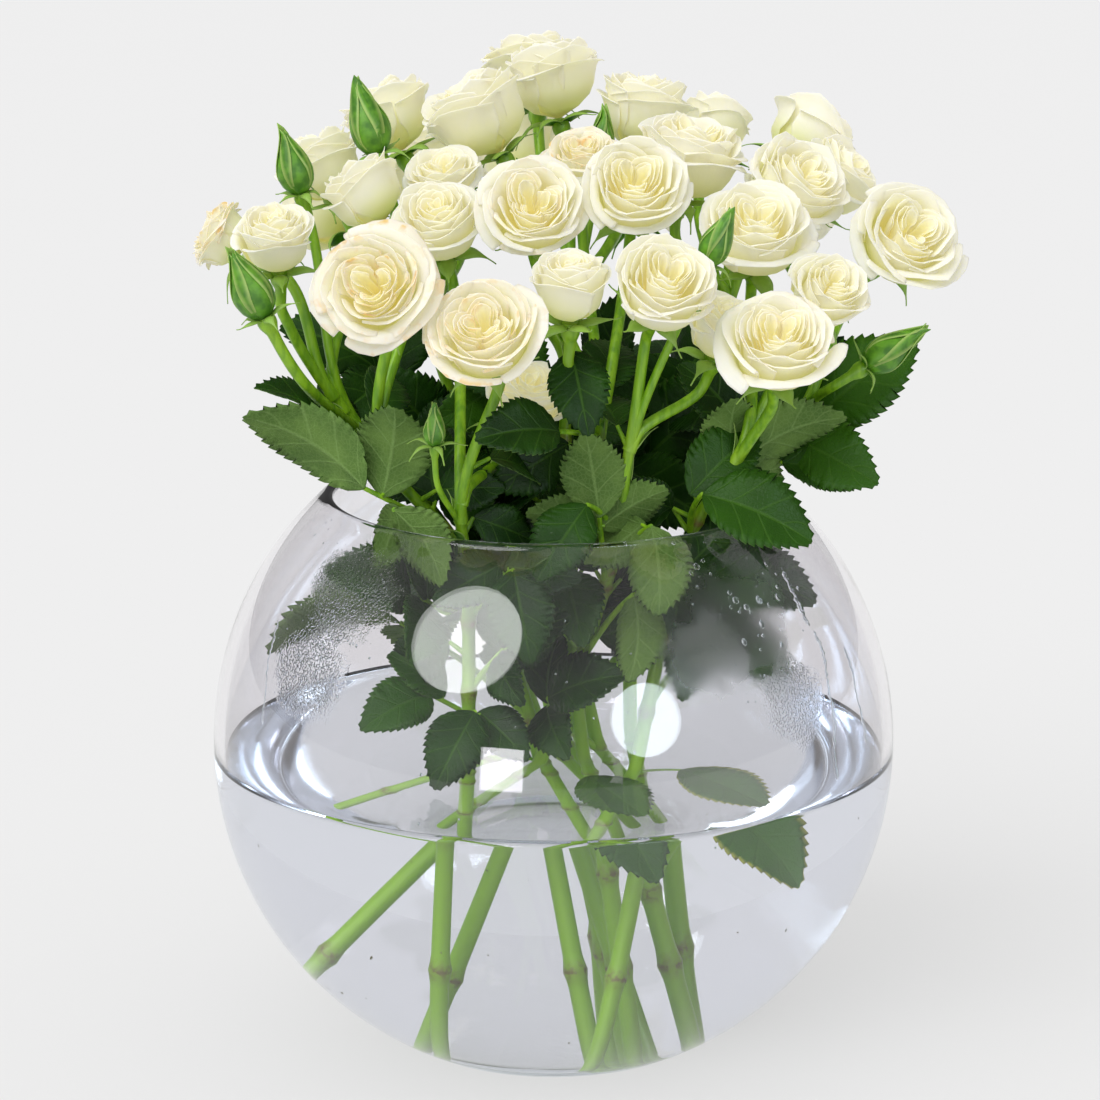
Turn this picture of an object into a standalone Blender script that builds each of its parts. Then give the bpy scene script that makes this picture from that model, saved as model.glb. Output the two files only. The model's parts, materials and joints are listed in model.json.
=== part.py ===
"""A floral table centrepiece: cut white spray roses standing in a round glass bowl half filled with water.

Every spray is one green solid: its stem, leaf stalks, leaflets, hips, sepals and closed buds are fused.
Every open rose is a solid of its own, seated on the hip that carries it. The bowl and the water are turned.
Lengths in the tables are millimetres, angles are degrees. A compass of 0 points along +X, 90 along +Y (the back).
"""

import math
import random

import bmesh
import bpy
import numpy as np
from mathutils import Vector
from mathutils.bvhtree import BVHTree

MM = 0.001

# ---------------------------------------------------------------- driving dimensions of the bowl and the water
BOWL_RADIUS = 125.0
WALL = 4.0
FOOT_RADIUS = 55.0
MOUTH_ANGLE = 41.0  # from straight up, where the sphere is cut open
FLOOR_THICKNESS = 8.0
TURN_STEPS = 28
SEAT_GAP = 0.35  # between solids that touch on the real thing
CENTRE_HEIGHT = math.sqrt(BOWL_RADIUS**2 - FOOT_RADIUS**2)
INNER_RADIUS = BOWL_RADIUS - WALL
WATER_LEVEL = CENTRE_HEIGHT - 2.0
STEM_CLEARANCE = 0.8  # round a stem or a leaf that stands in the water
CLEARANCE = 0.35  # between the leaves and sepals of one spray and everything else

# ---------------------------------------------------------------- driving dimensions of the roses
STEM_RADIUS = 2.8
PEDICEL_RADIUS = 2.0
HIP_RADIUS = 3.6
HIP_LENGTH = 9.0
SMOOTH_ANGLE = 40.0
SIDES = 5  # of a stem or a stalk: one for each sepal
SEPAL_LENGTH = 20.0
RIB_THICKNESS = 1.3
LEAFLET_WIDTH_SHARE = 0.66
BLADE_ARCH = 0.12
BLADE_FOLD = 0.22

GREEN = (0.10, 0.26, 0.03)
CREAM = (0.93, 0.92, 0.72)
CLEAR = (0.90, 0.94, 0.95)

# Each spray: where its cut foot stands, where it passes through the bowl's neck, and where it first forks.
SPRAYS = {
    "spray_a": ((30, 4, 8.4), (-24, 0, 165), (-80, -18, 246)),
    "spray_b": ((14, -14, 8.4), (-20, -26, 165), (-60, -46, 230)),
    "spray_c": ((-33, -14, 8.4), (-30, -44, 165), (-32, -62, 218)),
    "spray_d": ((-41, 4, 8.4), (14, -38, 165), (26, -58, 232)),
    "spray_e": ((10, -34, 8.4), (42, -34, 165), (66, -52, 226)),
    "spray_f": ((-80, 4, 30.0), (44, -8, 165), (98, -22, 250)),
    "spray_g": ((24, -10, 8.4), (6, -26, 165), (16, -44, 236)),
    "spray_h": ((40, 10, 8.4), (6, -8, 165), (6, 4, 272)),
    "spray_i": ((22, 20, 8.4), (-12, 18, 165), (-46, 12, 275)),
    "spray_j": ((34, 26, 8.4), (30, 14, 165), (62, 10, 268)),
    "spray_k": ((14, 38, 8.4), (6, 36, 165), (4, 58, 250)),
}

# Each open rose: its spray, the middle of its cup, lean from upright, compass, width across the rim, openness.
ROSES = {
    "rose_01": ("spray_b", (-60, -88, 296), 66, -100, 38, 0.9),
    "rose_02": ("spray_c", (-23, -92, 281), 46, -100, 37, 0.8),
    "rose_03": ("spray_g", (6, -73, 294), 12, -85, 27, 0.3),
    "rose_04": ("spray_d", (37, -84, 296), 42, -75, 34, 0.6),
    "rose_05": ("spray_e", (76, -82, 275), 36, -88, 37, 0.9),
    "rose_06": ("spray_c", (-10, -45, 249), 30, -60, 29, 0.4),
    "rose_07": ("spray_c", (-40, -38, 310), 36, -105, 30, 0.4),
    "rose_08": ("spray_g", (-7, -44, 315), 52, -88, 35, 0.8),
    "rose_09": ("spray_g", (28, -36, 322), 48, -88, 36, 0.8),
    "rose_10": ("spray_a", (-97, -40, 305), 20, -100, 27, 0.4),
    "rose_11": ("spray_a", (-118, -15, 301), 62, 180, 24, 0.9),
    "rose_12": ("spray_b", (-67, -20, 318), 34, 165, 29, 0.5),
    "rose_13": ("spray_e", (71, -36, 306), 32, -85, 37, 0.8),
    "rose_14": ("spray_j", (86, -5, 318), 42, -45, 35, 0.7),
    "rose_15": ("spray_f", (103, 25, 316), 48, -10, 30, 0.6),
    "rose_16": ("spray_f", (125, -10, 300), 56, -62, 38, 0.9),
    "rose_17": ("spray_e", (94, -57, 289), 42, -60, 27, 0.5),
    "rose_18": ("spray_d", (58, -55, 276), 24, -60, 24, 0.3),
    "rose_19": ("spray_i", (-27, 16, 341), 30, 175, 38, 0.6),
    "rose_20": ("spray_h", (-1, 46, 350), 14, 150, 35, 0.5),
    "rose_21": ("spray_h", (-7, 84, 348), 20, 100, 37, 0.9),
    "rose_22": ("spray_i", (-60, 34, 338), 24, 150, 32, 0.5),
    "rose_23": ("spray_h", (33, 36, 339), 10, 40, 33, 0.4),
    "rose_24": ("spray_j", (48, -2, 328), 12, -20, 38, 0.7),
    "rose_25": ("spray_j", (60, 62, 330), 30, 60, 26, 0.5),
    "rose_26": ("spray_j", (94, 50, 328), 50, 30, 33, 0.7),
    "rose_27": ("spray_a", (-83, 13, 323), 24, 170, 31, 0.5),
    "rose_28": ("spray_g", (10, -2, 327), 26, -90, 25, 0.8),
    "rose_29": ("spray_i", (-38, -8, 321), 22, -110, 26, 0.7),
    "rose_30": ("spray_k", (-10, 104, 312), 50, 95, 37, 0.8),
    "rose_31": ("spray_k", (30, 96, 300), 62, 75, 36, 0.9),
    "rose_32": ("spray_i", (-46, 74, 310), 48, 125, 35, 0.7),
    "rose_33": ("spray_j", (88, 88, 296), 60, 45, 34, 0.8),
    "rose_34": ("spray_k", (-86, 60, 298), 58, 145, 34, 0.8),
}

# Each closed bud: its spray, the middle of the bud, lean, compass, width.
BUDS = {
    "spray_a": [((-92, -17, 328), 16, -160, 12.5), ((-105, -60, 292), 26, -160, 14.0)],
    "spray_i": [((-66, -1, 341), 16, 175, 14.0)],
    "spray_d": [((56, -70, 310), 24, -20, 10.5)],
    "spray_f": [((119, -36, 265), 58, 5, 12.5)],
    "spray_c": [((-41, -75, 246), 8, -90, 7.5)],
    "spray_h": [((17, 22, 330), 8, -30, 11.0)],
}

# Each leaf: height where it leaves the stem, where its end leaflet starts, that leaflet's tip, how many
# leaflets, and where its upper side faces, as a lean from straight up and a compass.
LEAVES = {
    "spray_a": [
        (214, (-80, -22, 234), (-106, -30, 250), 3, 15, -90),
        (150, (-51, -26, 172), (-80, -46, 186), 3, 50, -90),
    ],
    "spray_b": [
        (202, (-68, -46, 218), (-110, -42, 244), 3, 50, 90),
        (128, (-48, -36, 170), (-97, -36, 162), 3, 35, 90),
        (192, (-56, -56, 212), (-38, -72, 188), 3, 60, 90),
        (104, (-44, -40, 140), (-68, -58, 132), 3, 50, -90),
    ],
    "spray_c": [
        (108, (-28, -48, 136), (-42, -64, 112), 3, 60, -90),
        (170, (-14, -58, 190), (-8, -72, 160), 3, 70, -90),
        (140, (-16, -46, 160), (6, -60, 174), 3, 60, -90),
    ],
    "spray_d": [
        (180, (16, -60, 210), (11, -68, 242), 3, 75, 90),
        (188, (34, -64, 208), (36, -82, 180), 3, 75, 80),
        (200, (16, -68, 216), (1, -80, 190), 1, 60, -90),
        (150, (28, -60, 182), (26, -74, 154), 1, 70, 60),
    ],
    "spray_e": [
        (198, (52, -58, 218), (90, -64, 202), 3, 50, -90),
        (206, (68, -44, 228), (103, -42, 242), 3, 55, 90),
        (156, (50, -44, 188), (80, -54, 176), 3, 60, -80),
        (130, (56, -30, 160), (84, -40, 146), 3, 60, -70),
    ],
    "spray_f": [
        (212, (93, -14, 234), (130, -10, 262), 3, 55, -100),
        (164, (62, 0, 176), (95, -10, 166), 3, 60, -90),
        (205, (78, -30, 222), (104, -34, 212), 3, 40, -90),
    ],
    "spray_g": [
        (232, (2, -70, 243), (-27, -84, 243), 1, 55, -100),
        (250, (6, -64, 270), (12, -78, 243), 1, 70, -90),
        (140, (2, -48, 176), (16, -64, 148), 3, 65, -90),
        (78, (12, -38, 106), (32, -62, 84), 1, 50, -80),
    ],
    "spray_h": [
        (205, (34, 2, 218), (70, 2, 248), 3, 65, -90),
        (112, (-2, -38, 138), (26, -50, 150), 3, 50, -90),
        (70, (46, -22, 98), (76, -42, 76), 1, 50, -60),
        (228, (-24, -12, 250), (-46, -20, 276), 3, 60, -90),
    ],
    "spray_i": [
        (222, (-64, 20, 246), (-100, 24, 262), 3, 40, -100),
        (140, (-56, 22, 160), (-92, 22, 158), 3, 50, -110),
        (236, (-52, 44, 262), (-76, 72, 268), 3, 40, 120),
        (196, (-40, 10, 222), (-66, 0, 250), 3, 65, -90),
        (190, (-14, 4, 220), (-30, -6, 252), 3, 65, -90),
    ],
    "spray_j": [
        (216, (74, 16, 238), (112, 22, 254), 3, 40, -60),
        (232, (74, 40, 256), (96, 70, 262), 3, 40, 60),
        (150, (62, 26, 172), (94, 34, 160), 3, 50, -30),
    ],
    "spray_k": [
        (190, (0, 74, 226), (-4, 112, 220), 3, 40, 90),
        (208, (36, 70, 238), (64, 98, 240), 3, 40, 60),
        (200, (-36, 68, 236), (-64, 96, 238), 3, 40, 120),
        (140, (10, 66, 150), (12, 98, 130), 3, 60, 90),
        (196, (-4, 30, 222), (-16, 26, 256), 3, 65, -90),
    ],
}


def clear_scene():
    for old in list(bpy.data.objects):
        bpy.data.objects.remove(old)


def material(name, colour, roughness, alpha=1.0):
    made = bpy.data.materials.new(name)
    made.use_nodes = True
    shader = made.node_tree.nodes["Principled BSDF"]
    shader.inputs["Base Color"].default_value = (*colour, 1)
    shader.inputs["Roughness"].default_value = roughness
    shader.inputs["Metallic"].default_value = 0.0
    shader.inputs["Alpha"].default_value = alpha
    return made


def direction(lean, compass):
    """The unit vector that leans this far from straight up towards a compass angle."""
    a, b = math.radians(lean), math.radians(compass)
    return np.array([math.sin(a) * math.cos(b), math.sin(a) * math.sin(b), math.cos(a)])


def unit(v):
    return v / np.linalg.norm(v)


def across(axis, hint=(0.0, 0.0, 1.0)):
    """Two unit vectors square to an axis and to each other, the first one level where it can be."""
    hint = np.array(hint) if abs(np.dot(unit(axis), hint)) < 0.98 else np.array([0.0, 1.0, 0.0])
    side = unit(np.cross(axis, hint))
    return side, np.cross(unit(axis), side)


def as_object(name, points, faces, finish):
    """A mesh object from points in millimetres, with its faces turned outwards."""
    mesh = bpy.data.meshes.new(name)
    mesh.from_pydata([tuple(MM * float(c) for c in p) for p in points], [], faces)
    shell = bmesh.new()
    shell.from_mesh(mesh)
    bmesh.ops.recalc_face_normals(shell, faces=shell.faces)
    bmesh.ops.triangulate(shell, faces=shell.faces)
    shell.to_mesh(mesh)
    shell.free()
    made = bpy.data.objects.new(name, mesh)
    made.data.materials.append(finish)
    bpy.context.scene.collection.objects.link(made)
    return made


def smooth_path(points, per_span):
    """A Catmull-Rom curve through the points, as an array with per_span steps between two of them."""
    p = [np.array(q, float) for q in points]
    p = [2 * p[0] - p[1], *p, 2 * p[-1] - p[-2]]
    made = []
    for i in range(1, len(p) - 2):
        for s in np.arange(per_span) / per_span:
            made.append(
                0.5
                * (
                    2 * p[i]
                    + (p[i + 1] - p[i - 1]) * s
                    + (2 * p[i - 1] - 5 * p[i] + 4 * p[i + 1] - p[i + 2]) * s**2
                    + (3 * p[i] - p[i - 1] - 3 * p[i + 1] + p[i + 2]) * s**3
                )
            )
    return np.array([*made, p[-2]])


def bend(start, leaving, end, arriving, steps, ease=0.38):
    """A Bezier curve that leaves and arrives along two directions."""
    reach = ease * np.linalg.norm(end - start)
    a, b = start + leaving * reach, end - arriving * reach
    t = np.linspace(0, 1, steps + 1)[:, None]
    return (1 - t) ** 3 * start + 3 * t * (1 - t) ** 2 * a + 3 * t**2 * (1 - t) * b + t**3 * end


def rings(path, radii, sides, flat_start=False):
    """Points round a path: one ring a point, turned as little as possible from ring to ring."""
    tangents = np.gradient(path, axis=0)
    side, _ = across(tangents[0])
    made = []
    for i, (centre, tangent) in enumerate(zip(path, tangents, strict=True)):
        axis = unit(tangent)
        side = unit(side - axis * np.dot(side, axis))
        other = np.cross(axis, side)
        turn = 2 * math.pi * np.arange(sides)[:, None] / sides
        ring = centre + radii[i] * (np.cos(turn) * side + np.sin(turn) * other)
        if flat_start and i == 0:  # a cut end that stands flat on the floor
            ring += (centre[2] - ring[:, 2:3]) / axis[2] * axis
        made.append(ring)
    return np.concatenate(made)


def lofted(count, sides):
    """Faces of a closed tube of that many rings."""
    faces = [list(range(sides))[::-1], [(count - 1) * sides + k for k in range(sides)]]
    for i in range(count - 1):
        for k in range(sides):
            a, b = i * sides + k, i * sides + (k + 1) % sides
            faces.append([a, b, b + sides, a + sides])
    return faces


def tube(path, radii, sides, flat_start=False):
    return rings(path, radii, sides, flat_start), lofted(len(path), sides)


# ---------------------------------------------------------------- the bowl and the water
def wall_angles(top, bottom, steps):
    return np.radians(np.linspace(top, bottom, steps + 1))


def on_sphere(radius, angle):
    return (radius * math.sin(angle), CENTRE_HEIGHT + radius * math.cos(angle))


def angle_at(radius, height):
    """The angle from straight up at which a sphere about the bowl's centre reaches a height."""
    return math.degrees(math.acos((height - CENTRE_HEIGHT) / radius))


WALL_STEPS_ABOVE, WALL_STEPS_BELOW = 4, 5
INNER_ANGLES = np.concatenate(
    [
        wall_angles(MOUTH_ANGLE, angle_at(INNER_RADIUS, WATER_LEVEL), WALL_STEPS_ABOVE),
        wall_angles(
            angle_at(INNER_RADIUS, WATER_LEVEL), angle_at(INNER_RADIUS, FLOOR_THICKNESS), WALL_STEPS_BELOW
        )[1:],
    ]
)


def turned(profile):
    """A closed solid turned from a profile of (radius, height) that starts and ends on the axis."""
    points, faces, ring = [], [], []
    for radius, height in profile:
        if radius == 0:
            ring.append([len(points)] * TURN_STEPS)
            points.append((0.0, 0.0, height))
            continue
        ring.append(list(range(len(points), len(points) + TURN_STEPS)))
        for k in range(TURN_STEPS):
            turn = 2 * math.pi * k / TURN_STEPS
            points.append((radius * math.cos(turn), radius * math.sin(turn), height))
    for i in range(len(profile) - 1):
        for k in range(TURN_STEPS):
            n = (k + 1) % TURN_STEPS
            corners = [ring[i][k], ring[i][n], ring[i + 1][n], ring[i + 1][k]]
            faces.append(list(dict.fromkeys(corners)))
    return points, faces


def bowl():
    outer = wall_angles(math.degrees(math.pi - math.asin(FOOT_RADIUS / BOWL_RADIUS)), MOUTH_ANGLE, 9)
    profile = [(0.0, 0.0)]
    profile += [on_sphere(BOWL_RADIUS, a) for a in outer]
    profile += [on_sphere(INNER_RADIUS, a) for a in INNER_ANGLES]
    profile += [(0.0, FLOOR_THICKNESS)]
    return turned(profile)


def water_body():
    """The lower part of the inside, a seat gap away from the glass all round."""
    below = [on_sphere(INNER_RADIUS - SEAT_GAP, a) for a in INNER_ANGLES[WALL_STEPS_ABOVE:-1]]
    foot = on_sphere(INNER_RADIUS, INNER_ANGLES[-1])[0] - 2 * SEAT_GAP
    floor = FLOOR_THICKNESS + SEAT_GAP
    return turned([(0.0, below[0][1]), *below, (foot, floor), (0.0, floor)])


def combined(body, others, operation, solver="EXACT"):
    """Body with one Boolean on a collection of the others applied, and those objects removed."""
    if not others:
        return body
    group = bpy.data.collections.new(body.name + "_group")
    bpy.context.scene.collection.children.link(group)
    for other in others:
        bpy.context.scene.collection.objects.unlink(other)
        group.objects.link(other)
    cut = body.modifiers.new("join", "BOOLEAN")
    cut.operation = operation
    cut.operand_type = "COLLECTION"
    cut.collection = group
    cut.solver = solver
    bpy.context.view_layer.update()
    graph = bpy.context.evaluated_depsgraph_get()
    body_mesh = bpy.data.meshes.new_from_object(body.evaluated_get(graph))
    body.modifiers.clear()
    body.data = merged_faces(body_mesh)
    for other in list(group.objects):
        bpy.data.objects.remove(other)
    bpy.data.collections.remove(group)
    return body


def merged_faces(mesh):
    """The same mesh with the flat faces that a Boolean has split made whole again."""
    shell = bmesh.new()
    shell.from_mesh(mesh)
    bmesh.ops.dissolve_limit(shell, angle_limit=math.radians(1.0), verts=shell.verts, edges=shell.edges)
    bmesh.ops.triangulate(shell, faces=shell.faces)
    shell.to_mesh(mesh)
    shell.free()
    return mesh


# ---------------------------------------------------------------- an open rose
ROSE_SEGMENTS = 12
# Each level of a rose: share of the radius, share of the height, petals round it, how far they wave.
# The levels run up the outside, over each lip and down into the groove behind it, to the heart.
ROSE_LEVELS = (
    (0.34, 0.02, 0, 0.0),
    (0.84, 0.32, 4, 0.02),
    (1.00, 0.92, 4, 0.09),
    (0.70, 0.66, 4, 0.05),
    (0.62, 1.00, 3, 0.10),
    (0.32, 0.72, 3, 0.05),
)
LIP_WAVE = 0.08
LIP_RISE = 0.045


def cup_height(width, openness):
    """A closed cup is taller than it is wide; an open rose is flatter."""
    return width * (0.98 - 0.26 * openness)


def rose_base(centre, axis, width, openness):
    """Where a rose's hip ends, just under its cup."""
    return np.array(centre, float) - axis * (cup_height(width, openness) / 2 + SEAT_GAP)


def rose_shape(name):
    """A cup with its petals in layers: each layer's lip waves in and out once a petal, and overlaps the next."""
    _, centre, lean, compass, width, openness = ROSES[name]
    axis = direction(lean, compass)
    side, front = across(axis)
    height = cup_height(width, openness)
    base = np.array(centre, float) - axis * height / 2
    draw = random.Random(name)
    points, faces = [base], []
    for level, (out, up, petals, wave) in enumerate(ROSE_LEVELS):
        start = draw.uniform(0, 2 * math.pi)
        flare = 1.0 + (0.10 * openness if level == 2 else 0.0)
        for k in range(ROSE_SEGMENTS):
            turn = 2 * math.pi * k / ROSE_SEGMENTS
            lap = (petals * (turn + start) / (2 * math.pi)) % 1.0 - 0.5 if petals else 0.0
            radius = width / 2 * out * flare * (1 - 2 * wave * lap)
            lift = height * (up - (0.12 * openness if level == 2 else 0.0))
            lift += LIP_RISE * height * math.cos(2 * math.pi * lap) * (wave > LIP_WAVE)
            points.append(base + axis * lift + radius * (math.cos(turn) * side + math.sin(turn) * front))
    heart = len(points)
    points.append(base + axis * height * 1.02)
    for k in range(ROSE_SEGMENTS):
        n = (k + 1) % ROSE_SEGMENTS
        faces.append([0, 1 + n, 1 + k])
        for level in range(len(ROSE_LEVELS) - 1):
            a = 1 + level * ROSE_SEGMENTS
            faces.append([a + k, a + n, a + n + ROSE_SEGMENTS, a + k + ROSE_SEGMENTS])
        last = 1 + (len(ROSE_LEVELS) - 1) * ROSE_SEGMENTS
        faces.append([last + k, last + n, heart])
    return points, faces


# ---------------------------------------------------------------- the lines of the stems and stalks
STEP = 7.0  # spacing of the points along a line
FORK_SPACING = 9.0  # between two stalks that leave one stem
PLAY = 1.6  # clearance round a line while it is bent clear
ROUNDS = 150


class Line:
    """The centreline of a stem, or of a stalk that starts on a stem, with the rose or bud at its end."""

    def __init__(self, spray, points, radius, head, parent=None):
        self.spray, self.radius, self.parent = spray, radius, parent
        self.head, self.end, self.axis, self.width = head
        self.points = evenly(points)
        self.rest = self.points.copy()
        if parent is not None:
            self.at = int(np.argmin(np.linalg.norm(parent.points - self.points[0], axis=1)))


def evenly(points):
    """The same line with points about STEP apart."""
    length = np.concatenate([[0], np.cumsum(np.linalg.norm(np.diff(points, axis=0), axis=1))])
    wanted = np.linspace(0, length[-1], max(4, round(length[-1] / STEP)) + 1)
    return np.stack([np.interp(wanted, length, points[:, i]) for i in range(3)], axis=1)


def heads_of(spray):
    """Roses, then buds, as (the rose's name, the top of its hip, axis, width)."""
    found = []
    for name, (owner, centre, lean, compass, width, openness) in ROSES.items():
        if owner == spray:
            axis = direction(lean, compass)
            found.append((name, rose_base(centre, axis, width, openness), axis, width))
    for centre, lean, compass, width in BUDS.get(spray, []):
        axis = direction(lean, compass)
        found.append((None, np.array(centre, float) - axis * width * 0.8, axis, width))
    return found


def draw_lines():
    """Every stem runs to its spray's first rose, and the other heads' stalks leave it below the fork."""
    lines = []
    for spray, (foot, neck, fork) in SPRAYS.items():
        first, *others = heads_of(spray)
        _, end, axis, _ = first
        hip_foot = end - axis * HIP_LENGTH
        stem = Line(spray, smooth_path([foot, neck, fork, hip_foot - axis * 9, hip_foot], 8), STEM_RADIUS, first)
        lines.append(stem)
        for i, head in enumerate(others):
            _, end, axis, width = head
            at = int(np.argmin(np.abs(stem.points[:, 2] - fork[2] + FORK_SPACING * i)))
            leaving = unit(stem.points[at + 1] - stem.points[at - 1])
            path = bend(stem.points[at], leaving, end - axis * HIP_LENGTH, axis, 16)
            lines.append(Line(spray, path, PEDICEL_RADIUS * min(1.0, width / 14), head, stem))
    return settle(lines)


def settle(lines):
    """Bends the lines a little, so that none comes near a rose, the glass or another spray's line."""
    owner = np.concatenate([[i] * len(line.points) for i, line in enumerate(lines)])
    spray = np.array([list(SPRAYS).index(line.spray) for line in lines])[owner]
    radius = np.array([line.radius for line in lines])[owner]
    names = list(ROSES)
    head = np.array([names.index(line.head) if line.head else -1 for line in lines])[owner]
    centres = np.array([ROSES[n][1] for n in names], float)
    reach = np.array([ROSES[n][4] * 0.53 for n in names])
    foreign = spray[:, None] != spray[None]
    other_rose = head[:, None] != np.arange(len(names))[None]
    for _ in range(ROUNDS):
        points = np.concatenate([line.points for line in lines])
        push = off_the_glass(points, radius)
        push += pushed_apart(points, points, radius[:, None] + radius[None] + PLAY, foreign)
        push += pushed_apart(points, centres, radius[:, None] + reach[None] + PLAY, other_rose)
        for i, line in enumerate(lines):
            shift = line.points + push[owner == i] - line.rest
            shift[0] = 0 if line.parent is None else (line.parent.points - line.parent.rest)[line.at]
            shift[-2:] = 0
            shift[1:-1] = 0.5 * shift[1:-1] + 0.25 * (shift[:-2] + shift[2:])
            line.points = line.rest + shift
    return lines


def pushed_apart(points, others, need, counts):
    """For each point, half of what it takes to be as far from each of the others as it needs to be."""
    square = (points**2).sum(axis=1)[:, None] + (others**2).sum(axis=1)[None] - 2 * points @ others.T
    i, j = np.nonzero(counts & (square < need**2))
    away = points[i] - others[j]
    far = np.linalg.norm(away, axis=1)[:, None] + 1e-6
    push = np.zeros_like(points)
    np.add.at(push, i, 0.5 * away / far * (need[i, j][:, None] - far))
    return push


def off_the_glass(points, radius):
    """Towards the bowl's axis where a line comes near the wall inside."""
    out = np.hypot(points[:, 0], points[:, 1]) + 1e-6
    height = np.clip(points[:, 2] - CENTRE_HEIGHT, 0, None)
    wall = np.sqrt(np.maximum(1, INNER_RADIUS**2 - height**2)) - radius - PLAY
    inside = points[:, 2] < on_sphere(INNER_RADIUS, math.radians(MOUTH_ANGLE))[1] + 8
    excess = np.where(inside, np.maximum(0, out - wall), 0)
    return np.stack([-points[:, 0] / out * excess, -points[:, 1] / out * excess, 0 * excess], axis=1)


def simplified(path, tolerance=1.4):
    """The fewest points that keep within the tolerance of the line."""
    if len(path) < 3:
        return [0, len(path) - 1]
    along = path[-1] - path[0]
    off = path - path[0]
    off = off - np.outer(off @ along, along) / (along @ along)
    far = int(np.argmax(np.linalg.norm(off, axis=1)))
    if np.linalg.norm(off[far]) < tolerance:
        return [0, len(path) - 1]
    return simplified(path[: far + 1], tolerance)[:-1] + [far + i for i in simplified(path[far:], tolerance)]


def line_radii(line, heights):
    """A stem thins out up to its fork; a stalk is as thick all along."""
    if line.parent:
        return [line.radius] * len(heights)
    return list(STEM_RADIUS - (STEM_RADIUS - PEDICEL_RADIUS) * np.clip(heights / SPRAYS[line.spray][2][2], 0, 1) ** 2)


def calyx_frame(line, k):
    """Outwards and sideways for the k-th of the five sepals."""
    side, front = across(line.axis)
    turn = 2 * math.pi * (k + 0.5) / SIDES
    out = math.cos(turn) * side + math.sin(turn) * front
    return out, np.cross(line.axis, out)


def sepal_tip(line, k, curl, size, grow=0.0):
    """Where a sepal ends: outwards under the rose, curled up or down."""
    out, _ = calyx_frame(line, k)
    length = SEPAL_LENGTH * size
    return line.end + line.axis * (length * 0.5 * curl - 1.5) + out * (length * (0.95 - 0.15 * abs(curl)) + grow)


def sepal_alone(line, k, curl, size, grow):
    """A sepal as a closed shape of its own, to try where there is room for it."""
    out, along = calyx_frame(line, k)
    root, half = line.end - line.axis * 0.9 + out * 2, 1.9 + grow
    low = root - line.axis * (3.2 + grow)
    points = [root - along * half, root + along * half, low + along * half, low - along * half]
    points.append(sepal_tip(line, k, curl, size, grow))
    return points, [[0, 1, 2, 3], [0, 1, 4], [1, 2, 4], [2, 3, 4], [3, 0, 4]]


def line_solid(line, curls=()):
    """The tube along a line, which swells into the hip, with the sepals growing out round its top."""
    kept = simplified(line.points)
    path = line.points[kept]
    radii = line_radii(line, path[:, 2])
    share = line.radius / PEDICEL_RADIUS if line.parent else 1.0
    points = list(rings(path, radii, SIDES, line.parent is None))
    side, front = across(line.axis)
    last = np.array(points[-SIDES:]) - path[-1]
    turns = np.arctan2(last @ front, last @ side) / (2 * math.pi) * SIDES
    twist = int(round(-turns[0])) % SIDES
    for back, swell in ((HIP_LENGTH * 0.45, 1.0), (0.9, 0.85)):
        for k in range(SIDES):
            turn = 2 * math.pi * (k - twist) / SIDES
            out = math.cos(turn) * side + math.sin(turn) * front
            points.append(line.end - line.axis * back + out * HIP_RADIUS * swell * share)
    faces = lofted(len(path) + 1, SIDES)
    faces.pop(1)
    hip_ring, notch_ring = len(points) - 2 * SIDES, len(points) - SIDES
    centre = len(points)
    points.append(line.end)
    for k in range(SIDES):
        n = (k + 1) % SIDES
        low, low_next, top, top_next = hip_ring + k, hip_ring + n, notch_ring + k, notch_ring + n
        faces.append([centre, top, top_next])
        curl = curls[(k - twist) % SIDES] if len(curls) else None
        if curl is None:
            faces += [[low, low_next, top_next], [low, top_next, top]]
            continue
        tip = len(points)
        points.append(sepal_tip(line, (k - twist) % SIDES, *curl))
        faces += [[low, low_next, tip], [low_next, top_next, tip], [top_next, top, tip], [top, low, tip]]
    return points, faces


def stem_hole(line):
    """The stem made wider, up to above the water and down through the water's floor."""
    path = line.points[simplified(line.points)]
    radii = line_radii(line, path[:, 2])
    points = rings(path, [r + STEM_CLEARANCE for r in radii], SIDES, True)
    count = int(np.argmax(path[:, 2] > WATER_LEVEL + 5)) + 1
    points = points[: count * SIDES]
    down = (path[0] - path[1]) / (path[1] - path[0])[2] * 4
    points[:SIDES] += down
    return points, lofted(count, SIDES)


# ---------------------------------------------------------------- what grows on the lines
def bud(line):
    """A closed bud: a pointed egg, its length nearly twice its width."""
    width, length = line.width, 1.9 * line.width
    base = line.end - line.axis * 1.5
    levels = ((0.0, 0.50), (0.20, 0.92), (0.38, 1.0), (0.64, 0.64), (0.86, 0.28), (1.0, 0.06))
    path = np.array([base + line.axis * length * t for t, _ in levels])
    return tube(path, [width / 2 * r for _, r in levels], SIDES)


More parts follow.
